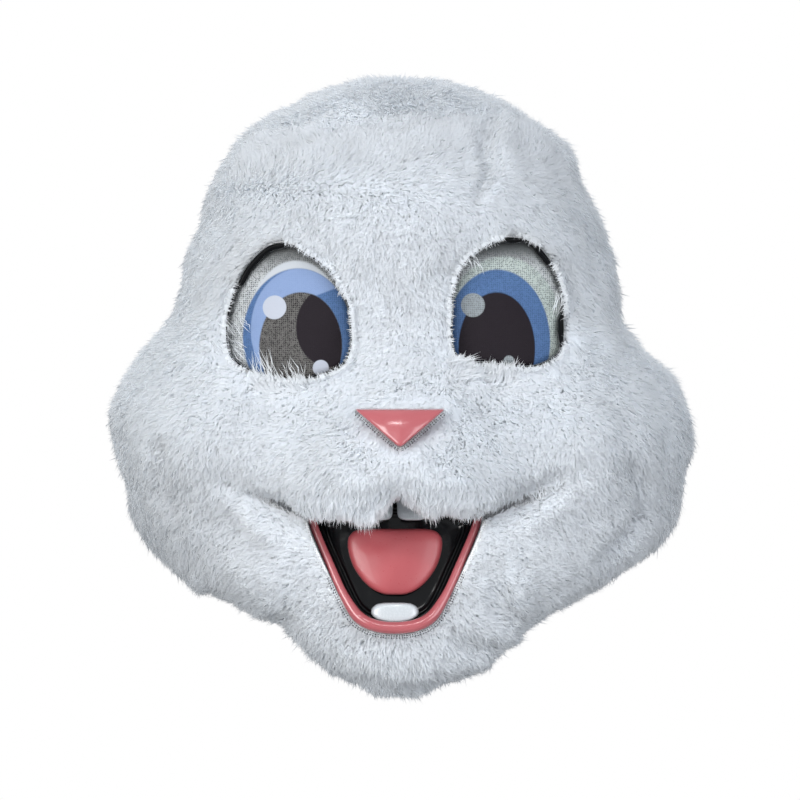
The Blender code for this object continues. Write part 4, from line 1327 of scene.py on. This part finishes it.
def moulded_piece(name, node_name, outline, profile, depth_at, material):
    made = new_object(name, moulded_pad(name, outline, profile, depth_at), material)
    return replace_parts(made, node_name)


def below_smile(line):
    """The part of an outline under the smile, from its left end round the bottom to its right end."""
    low = line[line[:, 1] < SMILE_HEIGHT - LIP_TUCK]
    return low[np.argsort(np.arctan2(low[:, 0] - MOUTH_ACROSS, MOUTH_LOW + 0.06 - low[:, 1]))]


def lip_route():
    """The middle line of the lip's bar, from its left end under the mouth to its right end."""
    outline = half_outline(DISH_HALF, MOUTH_ACROSS, MOUTH_LOW, 8)
    low = smooth_step(0.030, 0.004, outline[:, 1] - MOUTH_LOW)
    thick = LIP_SIDE_RADIUS + (LIP_RADIUS - LIP_SIDE_RADIUS) * low
    bar = below_smile(np.column_stack([moved_edge(outline, -thick[:, None]), thick]))
    return bar[:, :2], bar[:, 2]


def lip(material):
    """A round bar along the sides and the bottom of the mouth, with closed ends."""
    bar, thick = lip_route()
    along = unit(np.gradient(bar, axis=0))
    depth = mouth_depth(*bar.T)
    last = len(bar) + 1

    def place(run, around):
        row = np.round(run * last).astype(int)
        index = np.clip(row - 1, 0, len(bar) - 1)
        turn = math.tau * around
        radius = np.where((row == 0) | (row == last), 0.0, thick[index])
        aside = np.stack([along[index, 1], -along[index, 0]], axis=1)
        flat = bar[index] + aside * (radius * np.cos(turn))[:, None]
        return np.stack([flat[:, 0], depth[index] - radius * np.sin(turn), flat[:, 1]], axis=1)

    made = new_object("lip_bar", wrapped_grid("lip_bar", last, 20, place), material)
    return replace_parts(made, "mouth_lip")


STITCH_PITCH, STITCH_SIDES = 0.00135, 5
# How far stitches and needle holes stand in front of the plush or the mouth's face, and where the rows of
# holes are, from the edge.
# Seams: the seed of the stitches and their lift off the cloth, the first seed of the needle holes
# and their lift, the holes' gaps from the edge, their thickness and their pitch.
# The rows of holes are small dark pieces: painted shade in the holes the needle left.
NOSE_SEAM = (31, 0.0006, 35, 0.0012, (0.0007, 0.0020), 0.0004, 0.0018)
LIP_SEAM = (33, 0.0026, 37, 0.0034, (0.0003, 0.0016), 0.00045, 0.0017)
HOLE_LENGTH = 0.0007
STITCH_RINGS, STITCH_ARCH = 4, 0.0007


def tube_faces(count, rings, sides):
    """The faces of closed tubes, each of some rings of points."""
    faces = []
    for i in range(count):
        first = i * rings * sides
        for low in range(first, first + (rings - 1) * sides, sides):
            for k in range(sides):
                after = (k + 1) % sides
                faces.append((low + k, low + after, low + sides + after, low + sides + k))
        faces.append(tuple(first + k for k in reversed(range(sides))))
        faces.append(tuple(first + (rings - 1) * sides + k for k in range(sides)))
    return faces


def stitch_row(name, places, outwards, slant, material, seed, long=0.0022, thick=0.00024):
    """Short threads over a sewn edge: each is a small arched tube, all joined in one mesh."""
    rng = np.random.default_rng(seed)
    count = len(places)
    length = long * (1 + rng.normal(0, 0.16, count))
    side = np.cross(outwards, (0.0, 1.0, 0.0))
    lean = unit(outwards + side * (slant + rng.normal(0, 0.12, count))[:, None])
    share = np.arange(STITCH_RINGS) / (STITCH_RINGS - 1)
    arch = STITCH_ARCH * np.sin(np.pi * share)
    middle = (places[:, None] + lean[:, None] * (length[:, None] * (share - 0.25))[..., None]
              - np.array([0.0, 1.0, 0.0]) * arch[None, :, None])
    turn = math.tau * np.arange(STITCH_SIDES) / STITCH_SIDES
    across = np.cross(lean, (0.0, 1.0, 0.0))
    radius = thick * np.array([0.5, 1.0, 1.0, 0.5])
    ring = (across[:, None, None] * np.cos(turn)[None, None, :, None]
            + np.array([0.0, 1.0, 0.0]) * np.sin(turn)[None, None, :, None])
    points = (middle[:, :, None] + ring * radius[None, :, None, None]).reshape(-1, 3)
    mesh = bpy.data.meshes.new(name)
    mesh.from_pydata([tuple(point) for point in lowered(points)], [],
                     tube_faces(count, STITCH_RINGS, STITCH_SIDES))
    bm = bmesh.new()
    bm.from_mesh(mesh)
    bmesh.ops.recalc_face_normals(bm, faces=bm.faces)
    bm.to_mesh(mesh)
    bm.free()
    mesh.shade_smooth()
    return new_object(name, mesh, material)


def evenly(route, pitch):
    """Places along an open route at an even pitch, and the directions along it there."""
    steps = np.linalg.norm(np.diff(route, axis=0), axis=1)
    passed = np.concatenate([[0.0], np.cumsum(steps)])
    wanted = np.arange(pitch / 2, passed[-1], pitch)
    places = np.stack([np.interp(wanted, passed, route[:, axis]) for axis in (0, 1)], axis=1)
    return places, unit(np.gradient(places, axis=0))


def sewn_edge(name, route, depth_at, away, material, seed, gap=0.0004, long=0.0022, thick=0.00024,
              pitch=STITCH_PITCH):
    """Stitches along a route of the front view; away says which side the cloth is on."""
    places, along = evenly(route, pitch)
    outwards = np.stack([along[:, 1], -along[:, 0]], axis=1) * away
    spots = places + outwards * gap
    points = np.stack([spots[:, 0], depth_at(spots[:, 0], spots[:, 1]), spots[:, 1]], axis=1)
    flat = np.stack([outwards[:, 0], np.zeros(len(places)), outwards[:, 1]], axis=1)
    return stitch_row(name, points, flat, 0.15, material, seed, long, thick)


def sew(name, end, route, depth_at, away, seam, thread, holes):
    """White stitches along a route of the front view, and rows of dark pieces beside them, painted shade in
    the holes the needle left.
    """
    seed, lift, hole_seed, hole_lift, gaps, thick, pitch = seam
    sewn_edge(name + "_stitches" + end, route, lambda x, z: depth_at(x, z) - lift, away, thread, seed)
    for row, gap in enumerate(gaps):
        sewn_edge("%s_holes%s_%d" % (name, end, row), route, lambda x, z: depth_at(x, z) - hole_lift,
                  away, holes, hole_seed + row, gap, HOLE_LENGTH, thick, pitch)


def neck_tape(material):
    """The woven tape that binds the cut edge of the cloth round the neck."""
    turn = math.tau * np.arange(TAPE_STEPS) / TAPE_STEPS - math.pi
    bottom = np.zeros(TAPE_STEPS)
    rim, above = head_points(turn, bottom), head_points(turn, bottom + 0.15)
    away = unit(rim - above)
    normals = head_normals(turn, bottom)
    middle = rim - normals * WALL / 2 + away * (BINDING_GAP + BINDING_THICKNESS / 2)

    def place(around, section):
        index = np.round(around * TAPE_STEPS).astype(int) % TAPE_STEPS
        wide, tall = rounded_square(section, TAPE_SQUARENESS)
        return middle[index] + normals[index] * WALL / 2 * wide + away[index] * BINDING_THICKNESS / 2 * tall

    mesh = wrapped_grid("neck_tape", TAPE_STEPS, TAPE_SIDES, place)
    made = new_object("neck_tape", mesh, material)
    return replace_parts(made, "neck_binding")


def area_light(name, place, aim, size, energy, colour):
    data = bpy.data.lights.new(name, "AREA")
    data.shape, data.size, data.size_y = "RECTANGLE", size[0], size[1]
    data.energy, data.color = energy, colour
    made = bpy.data.objects.new(name, data)
    made.location = place
    made.rotation_euler = (Vector(aim) - Vector(place)).to_track_quat("-Z", "Y").to_euler()
    bpy.context.scene.collection.objects.link(made)
    return made


def colour_property(label, description, default):
    return FloatVectorProperty(name=label, description=description, default=default, subtype="COLOR",
                               min=0, max=1)


def number_property(label, description, default, **limits):
    return FloatProperty(name=label, description=description, default=default, **limits)


def share_property(label, description, default):
    return number_property(label, description, default, min=0, max=1)


def length_property(label, description, default):
    return number_property(label, description, default, subtype="DISTANCE", unit="LENGTH")


class PileSettings(bpy.types.PropertyGroup):
    lock_length: length_property("Lock length", "Length of a lock of pile", 0.0120)
    lock_width: length_property("Lock width", "Widest part of a lock", 0.00068)
    see_through: share_property("Light let through", "Share of the light that passes through a lock",
                                0.55)
    root_lean: number_property("Root lean", "Degrees a lock's root leans from the cloth's normal", 24.0)
    tip_lean: number_property("Tip lean", "Degrees a lock's tip leans from the cloth's normal", 64.0)
    tuft_size: number_property("Tuft size", "Millimetres across a tuft of locks", 6.5)
    tuft_pull: share_property("Tuft pull", "How far a lock's tip is drawn into its tuft", 0.34)
    softness: share_property("Softness", "How much locks are lit as the cloth under them is", 0.97)
    under_share: share_property("Underfur", "Share of the locks that are short and wide", 0.60)
    hidden_share: number_property("Rear share", "Density of the pile at the back", 0.55)
    hidden_widening: number_property("Rear width", "How much wider locks are at the back", 0.9)
    tip_colour: colour_property("Tip colour", "Colour of the tips of the pile", (0.925, 0.95, 0.975))
    # Painted shade: the roots are darker and bluer than the tips, where the locks shade each other.
    root_shade_colour: colour_property("Root shade colour", "Colour of the pile near the cloth, darkened as painted shade",
                                 (0.885, 0.915, 0.95))
    backing_colour: colour_property("Backing colour", "Colour of the knitted backing",
                                    (0.86, 0.88, 0.90))


class EyeSettings(bpy.types.PropertyGroup):
    mesh_pitch: length_property("Mesh pitch", "Distance between two threads of the eye mesh", 0.0013)
    white_colour: colour_property("White", "Thread of the white of the eye", (0.50, 0.525, 0.54))
    white_shadow_colour: colour_property("White, gaps", "Gaps in the white of the eye",
                                         (0.085, 0.095, 0.10))
    green_white_colour: colour_property("Outer ring", "Thread of the right eye's outer ring",
                                        (0.43, 0.49, 0.47))
    # Painted shadow at the top of the eye, in the recess under the overhanging fur.
    top_shadow_colour: colour_property("Upper shade", "Painted shadow at the top of the eye",
                                  (0.085, 0.09, 0.092))
    ring_colour: colour_property("Pale ring", "Pale crescent over the left iris", (0.46, 0.49, 0.53))
    # Painted light: the blue print of the iris, lightened where light from behind shows through the mesh.
    iris_lit_through_colour: colour_property("Lit-through iris", "Blue print of the iris, lightened as painted light from behind", (0.205, 0.285, 0.47))
    iris_dark_colour: colour_property("Dark iris", "Dark part of the iris", (0.075, 0.145, 0.30))
    iris_gap_colour: colour_property("Iris, gaps", "Gaps in the iris", (0.028, 0.055, 0.125))
    pupil_colour: colour_property("Pupil", "Solid part of the pupil", (0.014, 0.0105, 0.0145))
    # Painted light: the pupil's black print, lightened where light from behind shows through the mesh.
    pupil_lit_through_colour: colour_property("Lit-through pupil", "Black print of the pupil, lightened as painted light from behind",
                                       (0.125, 0.122, 0.118))
    pupil_gap_colour: colour_property("Pupil, gaps", "Gaps in the pupil", (0.016, 0.014, 0.016))
    dull_highlight_colour: colour_property("Dull highlight", "Printed highlights of the right eye",
                                           (0.25, 0.28, 0.30))
    highlight_colour: colour_property("Highlight", "Printed highlight", (0.42, 0.45, 0.52))


class MouldedSettings(bpy.types.PropertyGroup):
    pink_colour: colour_property("Nose and lip", "Colour of the nose and the lip", (0.43, 0.105, 0.12))
    tongue_colour: colour_property("Tongue", "Colour of the tongue", (0.41, 0.078, 0.09))
    black_colour: colour_property("Mouth and eye rims", "Colour of the black pieces",
                                  (0.003, 0.0033, 0.004))
    tooth_colour: colour_property("Teeth", "Colour of the teeth", (0.50, 0.54, 0.57))
    # Painted shade in the holes the needle left round the sewn edges.
    hole_shadow_colour: colour_property("Needle hole shadows", "Colour of the needle holes round the sewn edges",
                                 (0.03, 0.037, 0.055))
    thread_colour: colour_property("Thread", "Colour of the stitches", (0.74, 0.78, 0.82))
    tape_colour: colour_property("Neck tape", "Colour of the neck tape", (0.66, 0.69, 0.73))


class StageSettings(bpy.types.PropertyGroup):
    key_power: number_property("Key light", "Watts of the key light", 41.0)
    fill_power: number_property("Fill light", "Watts of the fill light", 22.0)
    top_power: number_property("Top light", "Watts of the top light", 1.5)
    back_power: number_property("Back light", "Watts of the light behind", 24.0)
    strip_power: number_property("Strip light", "Watts of the narrow strip light", 4.0)
    sky: number_property("Sky", "Strength of the even light from all round", 0.60)
    floor_drop: length_property("Floor", "How far the floor is below the head's mount", 1.75)


# Locks in each piece of pile: panel, name, count, seed, longer and wider.
PILES = (
    ("face_panel", "face_pile", 96000, 11, 1.0, 1.0),
    ("face_panel", "face_pile_over", 96000, 12, 1.04, 0.9),
    ("jaw_panel", "jaw_pile", 84000, 13, 1.0, 1.0),
    ("side_panel_left", "side_pile_left", 34000, 14, 1.0, 1.0),
    ("side_panel_right", "side_pile_right", 34000, 15, 1.0, 1.0),
    ("back_panel_left", "back_pile_left", 30000, 16, 1.0, 1.0),
    ("back_panel_right", "back_pile_right", 30000, 17, 1.0, 1.0),
    ("crown_panel", "crown_pile", 42000, 18, 1.0, 1.0),
)


class COSTUME_OT_plush(bpy.types.Operator):
    """Make the backing cloth and the pile of every plush panel"""
    bl_idname = "costume.plush"
    bl_label = "Plush panels"

    def execute(self, context):
        settings = context.scene.costume_pile
        pile, backing = pile_material(settings), backing_material(settings)
        grown = {}
        for panel, name, count, seed, longer, wider in PILES:
            made = grow_pile(panel, name, count, settings, pile, seed, longer, wider)
            grown.setdefault(panel, []).append(made)
        for panel in PANELS:
            cloth = panel_cloth(panel, backing)
        return {"FINISHED"}


class COSTUME_OT_eyes(bpy.types.Operator):
    """Make the printed mesh eyes and their black rims"""
    bl_idname = "costume.eyes"
    bl_label = "Eyes"

    def execute(self, context):
        black = gloss_material("black rim", context.scene.costume_moulded.black_colour)
        for side in EYES:
            eye_print(side, eye_material(side, context.scene.costume_eyes))
            eye_frame(side, black)
        return {"FINISHED"}


class COSTUME_OT_nose(bpy.types.Operator):
    """Make the moulded nose and the stitches along its lower edges"""
    bl_idname = "costume.nose"
    bl_label = "Nose"

    def execute(self, context):
        settings = context.scene.costume_moulded
        pink = gloss_material("pink nose", settings.pink_colour)
        outline = nose_outline(10)
        moulded_piece("nose_pad", "nose", outline, NOSE_PROFILE, nose_depth, pink)
        thread = gloss_material("white thread", settings.thread_colour)
        # Dark pieces of painted shade in the holes the needle left.
        holes = gloss_material("needle holes", settings.hole_shadow_colour)
        edge = moved_edge(outline, CLEAR)
        low = edge[edge[:, 1] < NOSE_HEIGHT + NOSE_TALL - NOSE_CORNER * 0.4]
        for side, chosen in (("left", low[low[:, 0] <= 0]), ("right", low[low[:, 0] >= 0])):
            route = chosen[np.argsort(chosen[:, 1])]
            away = 1.0 if side == "right" else -1.0
            sew("nose", "_" + side, route, plush_front, away, NOSE_SEAM, thread, holes)
        return {"FINISHED"}


class COSTUME_OT_mouth(bpy.types.Operator):
    """Make the moulded mouth: its bowl, lip, tongue, teeth and the stitches round it"""
    bl_idname = "costume.mouth"
    bl_label = "Mouth"

    def execute(self, context):
        settings = context.scene.costume_moulded
        black = gloss_material("black mouth", settings.black_colour)
        pink = gloss_material("pink lip", settings.pink_colour)
        flesh = gloss_material("pink tongue", settings.tongue_colour)
        white = gloss_material("white tooth", settings.tooth_colour)
        dish = moved_edge(half_outline(DISH_HALF, MOUTH_ACROSS, MOUTH_LOW, 12), -CLEAR)
        moulded_piece("mouth_bowl", "mouth_dish", dish, DISH_PROFILE, mouth_depth, black)
        tongue = half_outline(TONGUE_HALF, MOUTH_ACROSS, MOUTH_LOW)
        moulded_piece("tongue_pad", "tongue", tongue, TONGUE_PROFILE, tongue_depth, flesh)
        low = half_outline(LOWER_TOOTH_HALF, MOUTH_ACROSS, MOUTH_LOW)
        moulded_piece("tooth_low", "lower_tooth", low, LOWER_TOOTH_PROFILE, mouth_depth, white)
        width = 2 * MM * max(x for x, _ in UPPER_TOOTH_HALF)
        for side, sign in (("left", -1), ("right", 1)):
            middle = MOUTH_ACROSS + sign * (UPPER_TOOTH_GAP + width) / 2
            upper = half_outline(UPPER_TOOTH_HALF, middle, MOUTH_LOW)
            moulded_piece("tooth_high_" + side, "upper_tooth_" + side, upper, UPPER_TOOTH_PROFILE,
                          mouth_depth, white)
        lip(pink)
        thread = gloss_material("white lip thread", settings.thread_colour)
        # Dark pieces of painted shade in the holes the needle left.
        holes = gloss_material("lip needle holes", settings.hole_shadow_colour)
        outer = moved_edge(half_outline(DISH_HALF, MOUTH_ACROSS, MOUTH_LOW, 8), 0.0006)
        sew("lip", "", below_smile(outer), mouth_depth, 1.0, LIP_SEAM, thread, holes)
        return {"FINISHED"}


class COSTUME_OT_neck(bpy.types.Operator):
    """Make the woven tape that binds the open neck"""
    bl_idname = "costume.neck"
    bl_label = "Neck tape"

    def execute(self, context):
        made, tree, shader = new_material("woven tape", 0.8, Sheen_Weight=0.15)
        woven_cloth(tree, shader, context.scene.costume_moulded.tape_colour, 0.6, 0.0011, 0.3, 0.0005)
        neck_tape(made)
        return {"FINISHED"}


FACE_MIDDLE = (0.0, -0.12, -0.2)
FLOOR_HALF = 12.0
# The lights: name, place, what it points at, width and height, and colour.
LIGHTS = (
    ("key", (-1.2, -2.0, 0.18), FACE_MIDDLE, (1.2, 1.2), (1.0, 0.99, 0.97)),
    ("fill", (1.25, -1.85, 0.0), FACE_MIDDLE, (1.3, 1.3), (0.95, 0.97, 1.0)),
    ("strip", (-0.1, -1.6, 0.9), FACE_MIDDLE, (0.5, 0.08), (1.0, 1.0, 1.0)),
    ("top", (-0.2, -0.3, 1.5), FACE_MIDDLE, (1.2, 1.2), (1.0, 1.0, 1.0)),
    ("back", (0.0, 1.5, 1.3), (0.0, 0.1, 0.2), (1.4, 1.2), (0.97, 0.98, 1.0)),
)


def make_camera(scene):
    """A level camera in front of the face, as the photograph was taken."""
    camera = bpy.data.cameras.new("camera")
    camera.sensor_width = SENSOR_MM
    camera.lens = FOCAL_PIXELS * SENSOR_MM / PHOTO_PIXELS
    camera.shift_y = (PHOTO_CENTRE[1] - PHOTO_PIXELS / 2) / PHOTO_PIXELS
    made = bpy.data.objects.new("camera", camera)
    made.location = (0, -CAMERA_DISTANCE, CAMERA_HEIGHT)
    made.rotation_euler = (math.pi / 2, 0, 0)
    scene.collection.objects.link(made)
    scene.camera = made


def white_to_camera(tree, kind, lit):
    """A shader that the camera sees as plain white, and that is lit for everything else."""
    seen = node(tree, "LightPath").outputs["Is Camera Ray"]
    white = node(tree, kind, Color=(1, 1, 1, 1), Strength=1.0)
    return node(tree, "MixShader", i0=seen, i1=lit, i2=white.outputs[0]).outputs[0]


def white_room(scene, strength):
    """Even light from all round."""
    world = bpy.data.worlds.new("white room")
    scene.world = world
    world.use_nodes = True
    tree = world.node_tree
    sky = tree.nodes["Background"]
    sky.inputs["Color"].default_value = (0.93, 0.96, 1.0, 1)
    sky.inputs["Strength"].default_value = strength
    both = white_to_camera(tree, "Background", sky.outputs[0])
    link(tree, both, tree.nodes["World Output"].inputs["Surface"])


def make_floor(scene, drop):
    """A wide pale floor."""
    bm = bmesh.new()
    bmesh.ops.create_grid(bm, x_segments=2, y_segments=2, size=FLOOR_HALF)
    bmesh.ops.translate(bm, verts=bm.verts, vec=(0, 0, -drop))
    floor = bpy.data.objects.new("floor", mesh_of(bm, "floor"))
    pale, tree, shader = new_material("pale floor", 0.8, Base_Color=(0.5, 0.5, 0.5, 1))
    both = white_to_camera(tree, "Emission", shader.outputs[0])
    link(tree, both, tree.nodes["Material Output"].inputs["Surface"])
    floor.data.materials.append(pale)
    scene.collection.objects.link(floor)


class COSTUME_OT_stage(bpy.types.Operator):
    """Make the camera, the soft lights and the pale floor"""
    bl_idname = "costume.stage"
    bl_label = "Camera, lights and floor"

    def execute(self, context):
        settings, scene = context.scene.costume_stage, context.scene
        make_camera(scene)
        for name, place, aim, size, colour in LIGHTS:
            area_light(name, place, aim, size, getattr(settings, name + "_power"), colour)
        white_room(scene, settings.sky)
        make_floor(scene, settings.floor_drop)
        scene.view_settings.view_transform = "Standard"
        scene.view_settings.look = "None"
        scene.cycles.use_denoising = True
        scene.cycles.max_bounces = 14
        scene.cycles.diffuse_bounces = 10
        scene.cycles.glossy_bounces = 3
        return {"FINISHED"}


class COSTUME_PT_panel(bpy.types.Panel):
    """Lists the pieces of the costume head and their sizes and colours"""
    bl_idname = "COSTUME_PT_panel"
    bl_label = "Plush bunny head"
    bl_space_type = "VIEW_3D"
    bl_region_type = "UI"
    bl_category = "Costume head"

    def draw(self, context):
        layout = self.layout
        for operator in OPERATORS:
            layout.operator(operator.bl_idname)
        for owner in GROUPS_OF_SETTINGS:
            settings = getattr(context.scene, owner)
            for key in settings.bl_rna.properties.keys():
                if key not in ("rna_type", "name"):
                    layout.prop(settings, key)


OPERATORS = (COSTUME_OT_stage, COSTUME_OT_plush, COSTUME_OT_eyes, COSTUME_OT_nose, COSTUME_OT_mouth,
             COSTUME_OT_neck)
GROUPS_OF_SETTINGS = {"costume_pile": PileSettings, "costume_eyes": EyeSettings,
                      "costume_moulded": MouldedSettings, "costume_stage": StageSettings}


def register():
    for kind in (*GROUPS_OF_SETTINGS.values(), *OPERATORS, COSTUME_PT_panel):
        bpy.utils.register_class(kind)
    for owner, kind in GROUPS_OF_SETTINGS.items():
        setattr(bpy.types.Scene, owner, PointerProperty(type=kind))


def unregister():
    for owner in GROUPS_OF_SETTINGS:
        delattr(bpy.types.Scene, owner)
    for kind in (COSTUME_PT_panel, *reversed(OPERATORS), *reversed(GROUPS_OF_SETTINGS.values())):
        bpy.utils.unregister_class(kind)


def main():
    register()
    bpy.ops.costume.stage()
    bpy.ops.costume.plush()
    bpy.ops.costume.eyes()
    bpy.ops.costume.nose()
    bpy.ops.costume.mouth()
    bpy.ops.costume.neck()


if __name__ == "__main__":
    main()
